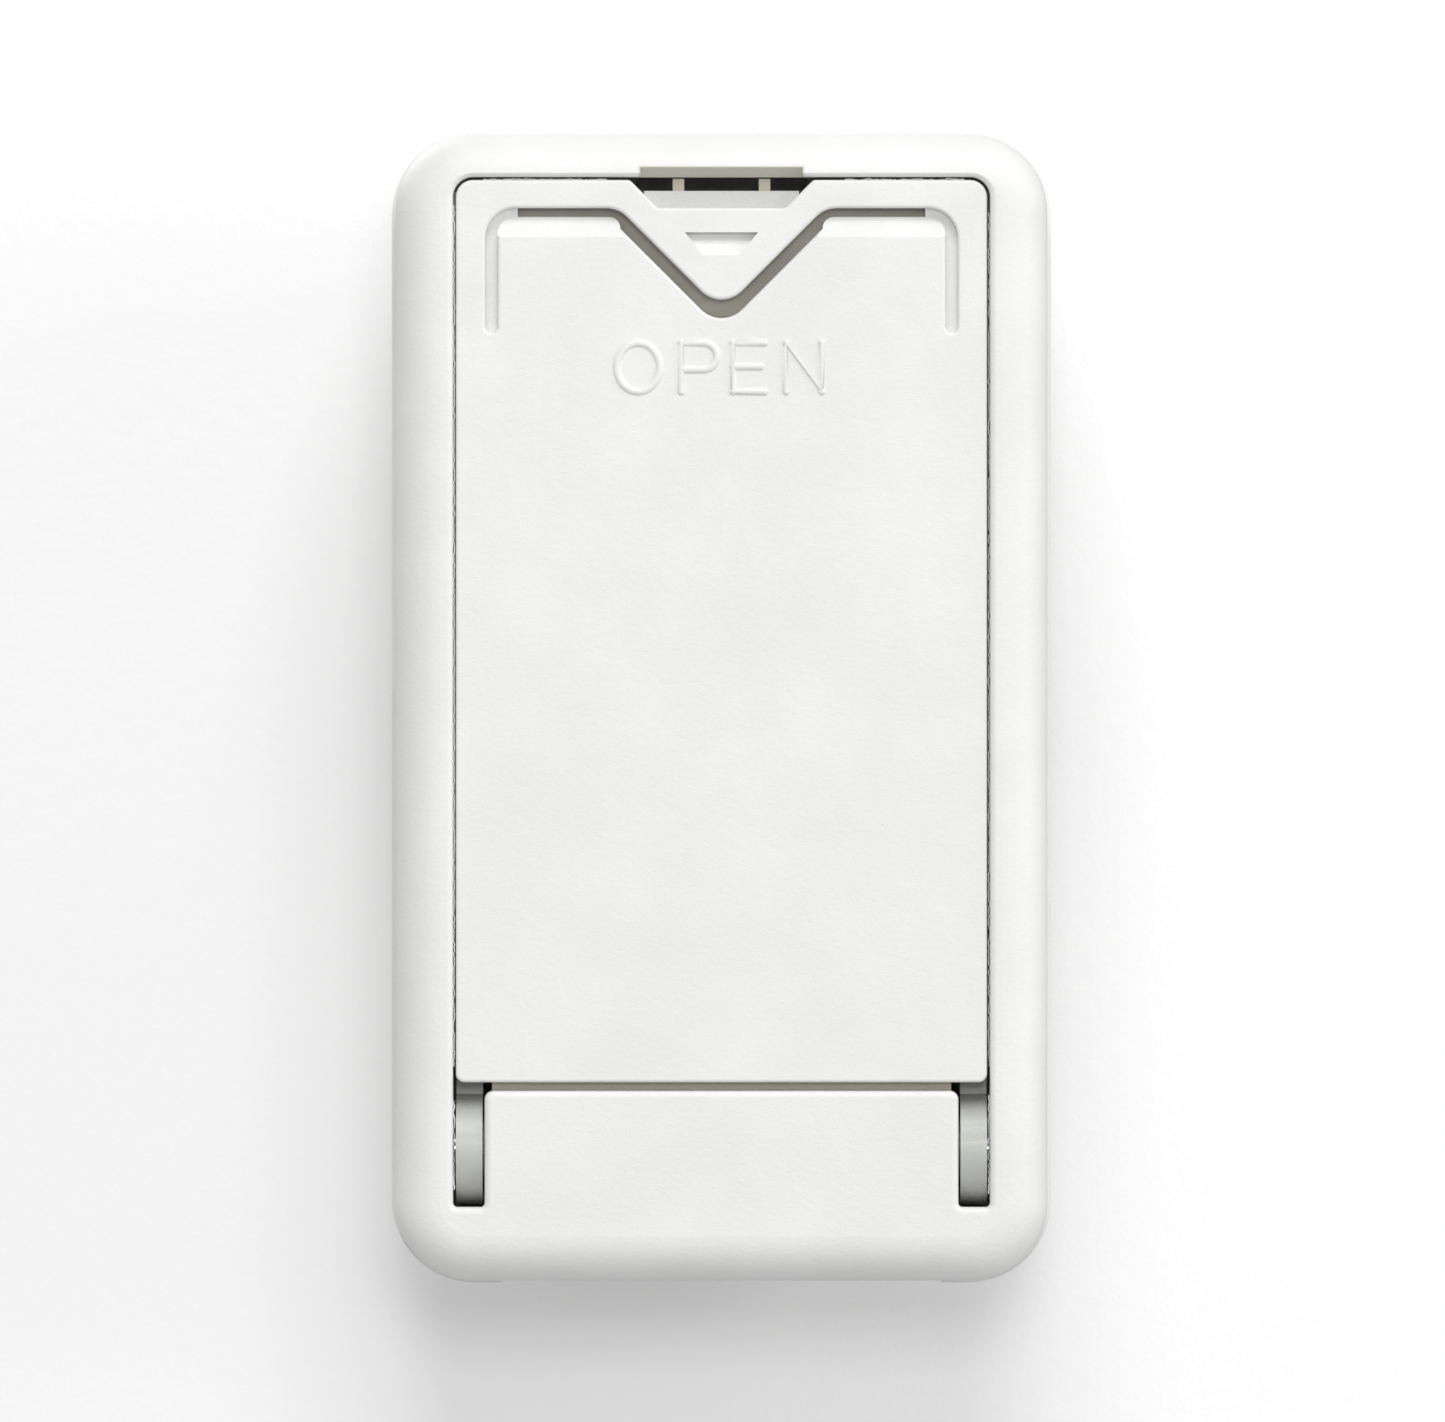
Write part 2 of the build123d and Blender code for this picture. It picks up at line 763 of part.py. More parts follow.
with BuildSketch() as pinion_tooth:
    with BuildLine():
        flank_height = tip_radius - base_radius
        flank_radii = [base_radius + flank_height * step / flank_steps for step in range(flank_steps + 1)]
        upper_flank = Spline(*[polar(r, half_tooth_angle(r)) for r in flank_radii])
        lower_flank = Spline(*[polar(r, -half_tooth_angle(r)) for r in flank_radii])
        Line(upper_flank @ 1, lower_flank @ 1)
        buried = root_radius * tooth_buried_share
        Polyline(
            upper_flank @ 0,
            polar(buried, half_tooth_angle(base_radius)),
            polar(buried, -half_tooth_angle(base_radius)),
            lower_flank @ 0,
        )
    make_face()

with BuildPart() as hinge_axle:
    with BuildSketch(side(0)):
        with Locations((axis_depth, axis_height)):
            Circle(axle_radius)
    extrude(amount=arm_inner, both=True)
    with BuildSketch(side(0)):
        with Locations((axis_depth, axis_height)):
            Circle(root_radius)
            with PolarLocations(0, pinion_teeth, 180, flap_opening, endpoint=True):
                add(pinion_tooth.sketch)
    extrude(amount=gear_half_width, both=True)
    for outer in (arm_outer, -arm_inner):
        with BuildSketch(side(outer)):
            with Locations((axis_depth, axis_height)):
                Circle(disc_radius)
            frame_rectangle(flap_back - neck_depth, flap_back - neck_inset, axis_height, pad_top)
        extrude(amount=arm_thickness)
    box_pair((pad_inner_half, arm_outer), (pad_back, flap_back), (pad_bottom, pad_top))
    for x, z in flap_screw_spots:
        rod_out(x, z, flap_boss_radius + flap_boss_clearance, (pad_back, flap_back), mode=Mode.SUBTRACT)
    with BuildSketch(side(0)):
        with Locations((axis_depth, axis_height)):
            Circle(hinge_pin_radius + hinge_running_clearance)
    extrude(amount=arm_outer + overcut, both=True, mode=Mode.SUBTRACT)

with BuildPart() as hinge_pin:
    with BuildSketch(side(0)):
        with Locations((axis_depth, axis_height)):
            Circle(hinge_pin_radius)
    extrude(amount=ear_outer, both=True)
    chamfer(hinge_pin.edges().filter_by(GeomType.CIRCLE), hinge_pin_bevel)

with BuildPart() as hinge_washers:
    for outer in (ear_inner, -ear_inner + washer_thickness):
        with BuildSketch(side(outer)):
            with Locations((axis_depth, axis_height)):
                Circle(washer_radius)
                Circle(hinge_pin_radius + hinge_running_clearance, mode=Mode.SUBTRACT)
        extrude(amount=washer_thickness)

flap_screw = screw(flap_screw_size, countersunk=False)
with BuildPart() as flap_screws:
    with Locations(*[Plane(origin=(x, -pad_back, z), z_dir=(0, 1, 0)) for x, z in flap_screw_spots]):
        add(flap_screw)

# ---------------------------------------------------------------- rear housing and what is fixed in it

boss_spots = [(x, z) for x in (-plate_screw_x, plate_screw_x) for z in (-plate_screw_z, plate_screw_z)]

with BuildPart() as rear_housing:
    with BuildSketch(front(plate_thickness)):
        RectangleRounded(2 * block_half_width, 2 * block_half_height, block_corner)
    extrude(amount=cover_back - plate_thickness)
    with BuildSketch(front(cover_back)):
        RectangleRounded(2 * flange_half_width, 2 * flange_half_height, flange_corner)
    extrude(amount=flange_thickness)
    with BuildSketch(front(plate_thickness)):
        RectangleRounded(2 * core_half, 2 * (block_half_height - block_wall), block_inner_corner)
    extrude(amount=web_back - plate_thickness, mode=Mode.SUBTRACT)
    # the solid core round the striker slot, and the bosses for the screws
    box_between((-core_half, core_half), (plate_thickness, web_back), (core_bottom, core_top))
    for z in wall_screw_heights:
        rod_out(0, z, wall_screw_boss, (plate_thickness, web_back))
    for x, z in boss_spots:
        rod_out(x, z, plate_screw_boss, (plate_thickness, web_back))
    for z in wall_screw_heights:
        rod_out(0, z, wall_screw_hole, (plate_thickness, flange_front), mode=Mode.SUBTRACT)
        rod_out(0, z, wall_screw_head_pocket, (boss_floor, flange_front), mode=Mode.SUBTRACT)
    for x, z in boss_spots:
        rod_out(x, z, plate_pilot_radius, (plate_thickness, plate_pilot_end), mode=Mode.SUBTRACT)
    # the striker slot, the seats of the bush and the socket, and the slot for the carriage's lug
    box_between(
        (-block_half_width, block_half_width),
        (plate_thickness, strike_front),
        (strike_bottom - channel_sheet, strike_top + channel_sheet),
        mode=Mode.SUBTRACT,
    )
    rod_up(0, bolt_depth, bush_radius + screw_fit, (strike_top, core_top), mode=Mode.SUBTRACT)
    rod_up(0, bolt_depth, socket_radius + screw_fit, (socket_bottom, strike_bottom), mode=Mode.SUBTRACT)
    box_between(
        (-lug_half_width - lug_slot_gap, lug_half_width + lug_slot_gap),
        (web_back, flange_front),
        (lug_bottom - lug_slot_gap, lug_top + slide_travel + lug_slot_gap),
        mode=Mode.SUBTRACT,
    )
    # ears for the hinge pin
    for outer in (ear_outer, -ear_inner):
        with BuildSketch(side(outer)):
            with Locations((axis_depth, axis_height)):
                Circle(ear_radius)
            frame_rectangle(flange_front, axis_depth, axis_height - ear_radius, axis_height + ear_radius)
            with Locations((axis_depth, axis_height)):
                Circle(hinge_pin_radius + hinge_press_clearance, mode=Mode.SUBTRACT)
        extrude(amount=ear_thickness)
    # rails, bosses for the cover's screws, spring pegs and buffer posts
    box_pair((rail_inner, rail_outer), (flange_front, rail_front), (rail_bottom, rail_top))
    for x in (-rail_middle, rail_middle):
        for z in keeper_screw_heights:
            rod_out(x, z, keeper_hole_radius, (flange_front, rail_front), mode=Mode.SUBTRACT)
    cover_boss = (cover_boss_inner, cover_boss_outer)
    boss_depths = (flange_front, flange_front + cover_boss_depth)
    box_pair(cover_boss, boss_depths, (spring_top, cover_boss_top))
    box_pair(cover_boss, boss_depths, (-cover_boss_top, -cover_boss_top + cover_boss_bottom_height))
    for x in (-cover_screw_x, cover_screw_x):
        for z in (-cover_boss_top, cover_boss_top - cover_boss_bottom_height):
            rod_up(
                x,
                cover_screw_depth,
                cover_screw_size[2] + screw_fit,
                (z, z + cover_boss_bottom_height),
                mode=Mode.SUBTRACT,
            )
    for x in (-spring_x, spring_x):
        rod_up(x, spring_depth, spring_peg_radius, (spring_top - spring_peg_length, spring_top))
    for x in (-buffer_x, buffer_x):
        rod_out(x, buffer_z, buffer_post_radius, (flange_front, buffer_seat))
        rod_out(
            x,
            buffer_z,
            buffer_stem_radius + screw_fit,
            (buffer_stem_end - buffer_hole_extra, buffer_seat),
            mode=Mode.SUBTRACT,
        )

with BuildPart() as flap_buffers:
    for x in (-buffer_x, buffer_x):
        rod_out(x, buffer_z, buffer_radius, (buffer_seat, buffer_front))
        rod_out(x, buffer_z, buffer_stem_radius, (buffer_stem_end, buffer_seat))
    fillet(front_edges(flap_buffers, buffer_front), buffer_rounding)

plate_screw = screw(plate_screw_size, countersunk=True)
plate_screw_places = [Plane(origin=(x, 0, z), z_dir=(0, 1, 0)) for x, z in boss_spots]

with BuildPart() as mounting_plate:
    with BuildSketch(front(0)):
        RectangleRounded(2 * block_half_width, 2 * block_half_height, block_corner)
        with Locations((0, wall_screw_upper), (0, wall_screw_lower)):
            Circle(wall_screw_hole, mode=Mode.SUBTRACT)
    extrude(amount=plate_thickness)
    with Locations(*plate_screw_places):
        CounterSinkHole(
            radius=plate_screw_size[2] + screw_fit,
            counter_sink_radius=plate_screw_size[0] + screw_fit,
            depth=plate_thickness + overcut,
            counter_sink_angle=plate_sink_angle,
        )

with BuildPart() as plate_screws:
    with Locations(*plate_screw_places):
        add(plate_screw)

with BuildPart() as strike_channel:
    sheet_outer = (strike_bottom - channel_sheet, strike_top + channel_sheet)
    channel_half = block_half_width - channel_end_gap
    box_between((-channel_half, channel_half), (channel_back, strike_front), sheet_outer)
    box_between(
        (-block_half_width, block_half_width),
        (strike_back, strike_front),
        (strike_bottom, strike_top),
        mode=Mode.SUBTRACT,
    )
    rod_up(0, bolt_depth, bolt_bore, sheet_outer, mode=Mode.SUBTRACT)

with BuildPart() as bolt_bush:
    rod_up(0, bolt_depth, bush_radius, (strike_top + channel_sheet, core_top))
    rod_up(0, bolt_depth, bush_flange_radius, (core_top, core_top + bush_flange))
    rod_up(0, bolt_depth, bolt_bore, (strike_top, core_top + bush_flange), mode=Mode.SUBTRACT)
    chamfer(bolt_bush.edges().sort_by(Axis.Z)[-1], bush_bevel)

with BuildPart() as bolt_socket:
    rod_up(0, bolt_depth, socket_radius, (socket_bottom, strike_bottom - channel_sheet))
    rod_up(0, bolt_depth, bolt_bore, (socket_bottom + bush_flange, strike_bottom), mode=Mode.SUBTRACT)

# ---------------------------------------------------------------- slide carriage, bolt and springs

with BuildPart() as slide_carriage:
    box_between((-slide_half_width, slide_half_width), (slide_back, slide_front), (slide_bottom, slide_top))
    box_between(
        (-slide_window_half, slide_window_half),
        (slide_back, slide_front),
        (slide_window_bottom, slide_window_top),
        mode=Mode.SUBTRACT,
    )
    # the rack, with a tooth space centred on the axle at rest
    rack_root = rack_line - gear_dedendum
    rack_tip = rack_line + gear_addendum
    root_half = tooth_pitch / 4 + gear_dedendum * tan(gear_pressure_angle)
    tip_half = tooth_pitch / 4 - gear_addendum * tan(gear_pressure_angle)
    tongue_heights = (tongue_bottom, slide_window_bottom)
    box_between((-gear_half_width, gear_half_width), (slide_back, rack_root), tongue_heights)
    with BuildSketch(side(-gear_half_width)):
        for step in (0.5, -0.5, -1.5, -2.5):
            middle = axis_height + step * tooth_pitch
            with BuildLine():
                Polyline(
                    (rack_root - rack_tooth_buried, middle + root_half),
                    (rack_root, middle + root_half),
                    (rack_tip, middle + tip_half),
                    (rack_tip, middle - tip_half),
                    (rack_root, middle - root_half),
                    (rack_root - rack_tooth_buried, middle - root_half),
                    close=True,
                )
            make_face()
    extrude(amount=-2 * gear_half_width)
    box_between(
        (-slide_half_width, slide_half_width),
        (slide_back, rack_tip + overcut),
        (tongue_bottom - tooth_pitch, tongue_bottom),
        mode=Mode.SUBTRACT,
    )
    # the lug that carries the bolt, and the shoulders under the springs
    box_between((-lug_half_width, lug_half_width), (lug_back, slide_back), (lug_bottom, lug_top))
    box_pair(
        (shoulder_inner, slide_half_width),
        (slide_back, slide_back + shoulder_depth),
        (slide_top - shoulder_height, slide_top),
    )
    for x in (-spring_x, spring_x):
        rod_up(x, spring_depth, spring_peg_radius, (slide_top, slide_top + spring_peg_length))
    rod_up(0, bolt_depth, bolt_radius + screw_fit, (lug_bottom, bolt_top), mode=Mode.SUBTRACT)
    with BuildSketch(side(0)):
        with Locations((bolt_depth, cross_pin_height)):
            Circle(cross_pin_radius + screw_fit)
    extrude(amount=lug_half_width, both=True, mode=Mode.SUBTRACT)

with BuildPart() as bolt:
    rod_up(0, bolt_depth, bolt_radius, (bolt_bottom, bolt_top))
    chamfer(bolt.edges().sort_by(Axis.Z)[0], bolt_tip_bevel)
    with BuildSketch(side(0)):
        with Locations((bolt_depth, cross_pin_height)):
            Circle(cross_pin_radius + screw_fit)
    extrude(amount=lug_half_width, both=True, mode=Mode.SUBTRACT)

with BuildPart() as bolt_cross_pin:
    with BuildSketch(side(0)):
        with Locations((bolt_depth, cross_pin_height)):
            Circle(cross_pin_radius)
    extrude(amount=lug_half_width, both=True)

with BuildPart() as keeper_right:
    box_between((keeper_inner, rail_outer), (rail_front, keeper_front), (rail_bottom, rail_top))
    for z in keeper_screw_heights:
        rod_out(rail_middle, z, keeper_hole_radius, (rail_front, keeper_front), mode=Mode.SUBTRACT)
    fillet(keeper_right.edges().filter_by(Axis.Y).filter_by(GeomType.LINE), keeper_corner)

with BuildPart() as keeper_left:
    mirror(keeper_right.part, about=Plane.YZ)

keeper_screw = screw(keeper_screw_size, countersunk=False)
keeper_screw_places = [
    Plane(origin=(x, -keeper_front, z), z_dir=(0, -1, 0))
    for x in (-rail_middle, rail_middle)
    for z in keeper_screw_heights
]
with BuildPart() as keeper_screws:
    with Locations(*keeper_screw_places):
        add(keeper_screw)


def return_spring(x):
    """Outer shape of one coil spring between the carriage's shoulder and the housing's stop."""
    with BuildPart() as spring:
        rod_up(x, spring_depth, spring_radius, (slide_top, spring_top))
        rod_up(x, spring_depth, spring_radius - spring_wire, (slide_top, spring_top), mode=Mode.SUBTRACT)
    return spring


return_spring_left = return_spring(-spring_x)
return_spring_right = return_spring(spring_x)

# ---------------------------------------------------------------- write every piece

pieces = {
    "front_cover": front_cover,
    "cover_screws": cover_screws,
    "flap_panel": flap_panel,
    "strip_left": strip_left,
    "strip_right": strip_right,
    "push_tab": push_tab,
    "tab_backing": tab_backing,
    "hinge_axle": hinge_axle,
    "hinge_pin": hinge_pin,
    "hinge_washers": hinge_washers,
    "flap_screws": flap_screws,
    "rear_housing": rear_housing,
    "flap_buffers": flap_buffers,
    "mounting_plate": mounting_plate,
    "plate_screws": plate_screws,
    "strike_channel": strike_channel,
    "bolt_bush": bolt_bush,
    "bolt_socket": bolt_socket,
    "slide_carriage": slide_carriage,
    "bolt": bolt,
    "bolt_cross_pin": bolt_cross_pin,
    "keeper_left": keeper_left,
    "keeper_right": keeper_right,
    "keeper_screws": keeper_screws,
    "return_spring_left": return_spring_left,
    "return_spring_right": return_spring_right,
}

os.makedirs("parts", exist_ok=True)
for name, piece in pieces.items():
    piece.part.label = name
    export_step(piece.part, f"parts/{name}.step")
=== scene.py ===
"""Looks of the stair gate latch: finishes for its CAD pieces and the fine pieces that CAD leaves plain.

Metres throughout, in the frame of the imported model: X to the right seen from the front, Z up, and the
wall at y = 0 with the latch standing out towards -Y. Sizes below that end in _mm are in millimetres.
"""

import json
import logging
import math
from dataclasses import dataclass, field
from enum import Enum
from typing import Any, Sequence

import bmesh
import bpy
from mathutils import Matrix, Vector


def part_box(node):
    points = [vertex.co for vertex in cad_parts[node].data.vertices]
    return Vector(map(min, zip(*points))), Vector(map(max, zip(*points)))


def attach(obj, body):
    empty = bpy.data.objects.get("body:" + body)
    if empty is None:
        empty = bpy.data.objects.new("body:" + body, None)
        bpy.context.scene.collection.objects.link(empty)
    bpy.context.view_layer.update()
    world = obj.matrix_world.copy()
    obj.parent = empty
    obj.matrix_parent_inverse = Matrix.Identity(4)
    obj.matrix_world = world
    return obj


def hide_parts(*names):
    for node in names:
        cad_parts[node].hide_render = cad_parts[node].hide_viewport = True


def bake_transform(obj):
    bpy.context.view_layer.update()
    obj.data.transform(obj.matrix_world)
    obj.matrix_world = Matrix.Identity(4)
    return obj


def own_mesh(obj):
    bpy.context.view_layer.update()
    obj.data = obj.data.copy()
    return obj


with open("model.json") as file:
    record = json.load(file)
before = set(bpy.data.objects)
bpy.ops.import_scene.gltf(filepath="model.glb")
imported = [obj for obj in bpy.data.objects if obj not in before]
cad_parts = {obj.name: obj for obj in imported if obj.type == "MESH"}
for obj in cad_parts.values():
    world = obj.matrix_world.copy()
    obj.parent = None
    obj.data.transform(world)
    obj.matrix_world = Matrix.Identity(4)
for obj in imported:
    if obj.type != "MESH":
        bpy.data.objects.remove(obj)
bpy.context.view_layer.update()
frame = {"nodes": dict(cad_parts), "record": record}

MM = 0.001
LOG = logging.getLogger("stair_gate_latch")

Colour = tuple[float, float, float]
Point = tuple[float, float, float]


class Body(Enum):
    """The rigid bodies that pieces ride on."""

    ROOT = "root"
    CARRIAGE = "carriage"
    FLAP = "flap"
    TAB = "tab"


class Side(Enum):
    """Left or right of the latch, seen from the front, with its sign on X."""

    LEFT = -1
    RIGHT = 1


# ---------------------------------------------------------------------------------------------- node trees


class Wire:
    """An output socket of a node, which takes part in Python arithmetic by adding Math nodes."""

    def __init__(self, graph: "Graph", socket: bpy.types.NodeSocket) -> None:
        """Wraps one output socket of a graph."""
        self.graph = graph
        self.socket = socket

    def _math(self, operation: str, *values: Any) -> "Wire":
        """Adds a Math node.

        Args:
            operation: The Math node's operation.
            values: Numbers or wires for its inputs, in order.

        Returns:
            The node's result.
        """
        node = self.graph.node("ShaderNodeMath", {"operation": operation}, dict(enumerate(values)))
        return Wire(self.graph, node.outputs[0])

    def __add__(self, other: Any) -> "Wire":
        """Sum."""
        return self._math("ADD", self, other)

    __radd__ = __add__

    def __sub__(self, other: Any) -> "Wire":
        """Difference."""
        return self._math("SUBTRACT", self, other)

    def __rsub__(self, other: Any) -> "Wire":
        """Difference from a number."""
        return self._math("SUBTRACT", other, self)

    def __mul__(self, other: Any) -> "Wire":
        """Product."""
        return self._math("MULTIPLY", self, other)

    __rmul__ = __mul__

    def __truediv__(self, other: Any) -> "Wire":
        """Quotient."""
        return self._math("DIVIDE", self, other)

    def __rtruediv__(self, other: Any) -> "Wire":
        """Quotient of a number by the value."""
        return self._math("DIVIDE", other, self)

    def __lt__(self, other: Any) -> "Wire":
        """1 where the value is below the other, otherwise 0."""
        return self._math("LESS_THAN", self, other)

    def __gt__(self, other: Any) -> "Wire":
        """1 where the value is above the other, otherwise 0."""
        return self._math("GREATER_THAN", self, other)

    def sine(self) -> "Wire":
        """Sine of the value in radians."""
        return self._math("SINE", self)

    def cosine(self) -> "Wire":
        """Cosine of the value in radians."""
        return self._math("COSINE", self)


class Graph:
    """A node tree of shaders or geometry that is built by script."""

    def __init__(self, tree: bpy.types.NodeTree) -> None:
        """Wraps a tree that already exists."""
        self.tree = tree

    def node(
        self, kind: str, settings: dict[str, Any] | None = None, inputs: dict[Any, Any] | None = None
    ) -> bpy.types.Node:
        """Adds any node.

        Args:
            kind: The node's type name.
            settings: Its properties, set first.
            inputs: Numbers, colours or wires for its sockets, by name or by index.

        Returns:
            The new node.
        """
        node = self.tree.nodes.new(kind)
        for name, value in (settings or {}).items():
            setattr(node, name, value)
        for key, value in (inputs or {}).items():
            self.plug(node, key, value)
        return node

    def wire(
        self,
        kind: str,
        settings: dict[str, Any] | None = None,
        inputs: dict[Any, Any] | None = None,
        output: Any = 0,
    ) -> Wire:
        """Adds any node and returns one of its outputs, by name or by index."""
        return Wire(self, self.node(kind, settings, inputs).outputs[output])

    def plug(self, node: bpy.types.Node, key: Any, value: Any) -> None:
        """Links a wire to a socket, or sets the socket's own value."""
        if isinstance(value, Wire):
            self.tree.links.new(value.socket, node.inputs[key])
        else:
            node.inputs[key].default_value = value


class Shader(Graph):
    """A material's node tree with one Principled shader."""

    def __init__(self, name: str) -> None:
        """Makes the material."""
        self.material = bpy.data.materials.new(name)
        self.material.use_nodes = True
        super().__init__(self.material.node_tree)
        self.tree.nodes.clear()
        self.output = self.node("ShaderNodeOutputMaterial")
        self.principled = self.node("ShaderNodeBsdfPrincipled")
        self.tree.links.new(self.principled.outputs[0], self.output.inputs["Surface"])
        self.place = self.wire("ShaderNodeTexCoord", output="Object")

    def stretched(self, scale: Point) -> Wire:
        """Object coordinates multiplied axis by axis."""
        inputs = {"Vector": self.place, "Scale": scale}
        return self.wire("ShaderNodeMapping", {"vector_type": "TEXTURE"}, inputs)

    def noise(
        self, size_mm: float, detail: float = 2.0, roughness: float = 0.5, place: Wire | None = None
    ) -> Wire:
        """Noise of 0 to 1 whose blobs are about a given size."""
        inputs = {
            "Vector": place or self.place,
            "Scale": 1 / (size_mm * MM),
            "Detail": detail,
            "Roughness": roughness,
        }
        return self.wire("ShaderNodeTexNoise", {"noise_dimensions": "3D"}, inputs)

    def blend(self, share: Any, first: Any, second: Any) -> Wire:
        """Mixes two colours by a share of the second."""
        inputs = {"Factor": share, 6: _rgba(first), 7: _rgba(second)}
        return self.wire("ShaderNodeMix", {"data_type": "RGBA"}, inputs, output=2)

    def spread(
        self, value: Wire, low: float, high: float, to_low: float = 0.0, to_high: float = 1.0
    ) -> Wire:
        """Maps a range of values onto another, clamped."""
        inputs = {"Value": value, "From Min": low, "From Max": high, "To Min": to_low, "To Max": to_high}
        return self.wire("ShaderNodeMapRange", {"clamp": True}, inputs)

    def relief(self, height: Wire, depth_mm: float) -> Wire:
        """Bump of a given depth for a height of 0 to 1."""
        inputs = {"Height": height, "Distance": depth_mm * MM, "Strength": 1.0}
        return self.wire("ShaderNodeBump", inputs=inputs)

    def finish(self, **values: Any) -> bpy.types.Material:
        """Sets the Principled shader's sockets, with _ for a space in a name, and returns the material."""
        for name, value in values.items():
            key = name.replace("_", " ")
            plain_colour = "Color" in key and isinstance(value, tuple) and len(value) == 3
            self.plug(self.principled, key, _rgba(value) if plain_colour else value)
        return self.material


def _rgba(colour: Any) -> Any:
    """A plain colour with its alpha, or a wire as it is."""
    return colour if isinstance(colour, Wire) else (*colour, 1.0)


class GeometryTree(Graph):
    """A geometry node tree with named inputs that ends in Realize Instances and Set Material."""

    def __init__(self, name: str) -> None:
        """Makes the tree with its geometry input."""
        super().__init__(bpy.data.node_groups.new(name, "GeometryNodeTree"))
        self.tree.interface.new_socket("Geometry", in_out="OUTPUT", socket_type="NodeSocketGeometry")
        self.identifiers: dict[str, str] = {}
        self.entry = self.node("NodeGroupInput")
        self.geometry = self.number("Geometry", "NodeSocketGeometry")

    def number(self, name: str, kind: str = "NodeSocketFloat") -> Wire:
        """Adds a named input of any socket type and returns it as a wire."""
        socket = self.tree.interface.new_socket(name, in_out="INPUT", socket_type=kind)
        self.identifiers[name] = socket.identifier
        return Wire(self, self.entry.outputs[name])

    def ramp(self, value: Wire, start: Any, end: Any) -> Wire:
        """0 up to the start of a range of values, 1 from its end, and even between."""
        return self.wire("ShaderNodeMapRange", inputs={"Value": value, "From Min": start, "From Max": end})

    def swept(self, path: Wire, radius: Wire, sides: int, capped: bool = True) -> Wire:
        """A round section swept along a path."""
        ring = {"Resolution": sides, "Radius": radius}
        section = self.wire("GeometryNodeCurvePrimitiveCircle", inputs=ring)
        inputs = {"Curve": path, "Profile Curve": section, "Fill Caps": capped}
        return self.wire("GeometryNodeCurveToMesh", inputs=inputs)

    def close(self, geometry: Wire) -> None:
        """Ends the tree in Realize Instances and Set Material."""
        material = self.number("Material", "NodeSocketMaterial")
        real = self.wire("GeometryNodeRealizeInstances", inputs={"Geometry": geometry})
        dressed = self.wire("GeometryNodeSetMaterial", inputs={"Geometry": real, "Material": material})
        exit_node = self.node("NodeGroupOutput")
        self.plug(exit_node, 0, dressed)

    def make(self, name: str, base: bpy.types.ID, values: dict[str, Any]) -> bpy.types.Object:
        """Runs the tree on a mesh or curve and returns the result as an object with a plain mesh.

        Args:
            name: The new object's name.
            base: The mesh or curve that the tree starts from.
            values: The tree's inputs, by name.

        Returns:
            An object at the origin with no modifier.
        """
        carrier = bpy.data.objects.new(name + "_carrier", base)
        bpy.context.scene.collection.objects.link(carrier)
        modifier = carrier.modifiers.new("shape", "NODES")
        modifier.node_group = self.tree
        for key, value in values.items():
            modifier[self.identifiers[key]] = value
        bpy.context.view_layer.update()
        evaluated = carrier.evaluated_get(bpy.context.evaluated_depsgraph_get())
        mesh = bpy.data.meshes.new_from_object(evaluated)
        bpy.data.objects.remove(carrier)
        return add_object(name, mesh)


# ---------------------------------------------------------------------------------------------- mesh tools


def add_object(name: str, mesh: bpy.types.Mesh) -> bpy.types.Object:
    """Puts a mesh in the scene as an object at the origin."""
    mesh.name = name
    obj = bpy.data.objects.new(name, mesh)
    bpy.context.scene.collection.objects.link(obj)
    return obj


def poly_curve(paths: Sequence[tuple[Sequence[Point], bool]]) -> bpy.types.Curve:
    """A curve of straight runs.

    Args:
        paths: Each path's points and whether it is closed.

    Returns:
        The curve data.
    """
    curve = bpy.data.curves.new("paths", "CURVE")
    curve.dimensions = "3D"
    for points, closed in paths:
        spline = curve.splines.new("POLY")
        spline.points.add(len(points) - 1)
        for place, point in zip(spline.points, points):
            place.co = (*point, 1.0)
        spline.use_cyclic_u = closed
    return curve


def smooth_by_angle(mesh: bpy.types.Mesh, degrees: float = 32.0) -> None:
    """Shades a mesh smooth except over edges sharper than an angle."""
    mesh.polygons.foreach_set("use_smooth", [True] * len(mesh.polygons))
    work = bmesh.new()
    work.from_mesh(mesh)
    for edge in work.edges:
        edge.smooth = edge.is_manifold and edge.calc_face_angle(0.0) < math.radians(degrees)
    work.to_mesh(mesh)
    work.free()


def dress(node: str, material: bpy.types.Material) -> None:
    """Gives a CAD node a material in place of all its own."""
    slots = frame["nodes"][node].data.materials
    slots.clear()
    slots.append(material)
    LOG.info("%s wears %s", node, material.name)


def settle(obj: bpy.types.Object, body: Body) -> bpy.types.Object:
    """Rides a finished piece on a body."""
    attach(obj, body.value)
    LOG.info("%s rides on %s", obj.name, body.value)
    return obj


# ---------------------------------------------------------------------------------------------- finishes


@dataclass(frozen=True)
class PaintedShadeBox:
    """A box in the latch's frame, in mm, where a finish is darkened softly: painted shade in a recess or
    gap.
    """

    low_mm: Point
    high_mm: Point
    tint: Colour
    soft_mm: float = 0.05

    def share(self, s: Shader) -> Wire:
        """1 inside the box and 0 outside it, for a shader's Object coordinates."""
        axes = s.node("ShaderNodeSeparateXYZ", inputs={0: s.place})
        share = None
        for axis in range(3):
            place = Wire(s, axes.outputs[axis])
            low, high, soft = self.low_mm[axis] * MM, self.high_mm[axis] * MM, self.soft_mm * MM
            inside = s.spread(place, low - soft, low) * s.spread(place, high, high + soft, 1.0, 0.0)
            share = inside if share is None else share * inside
        return share


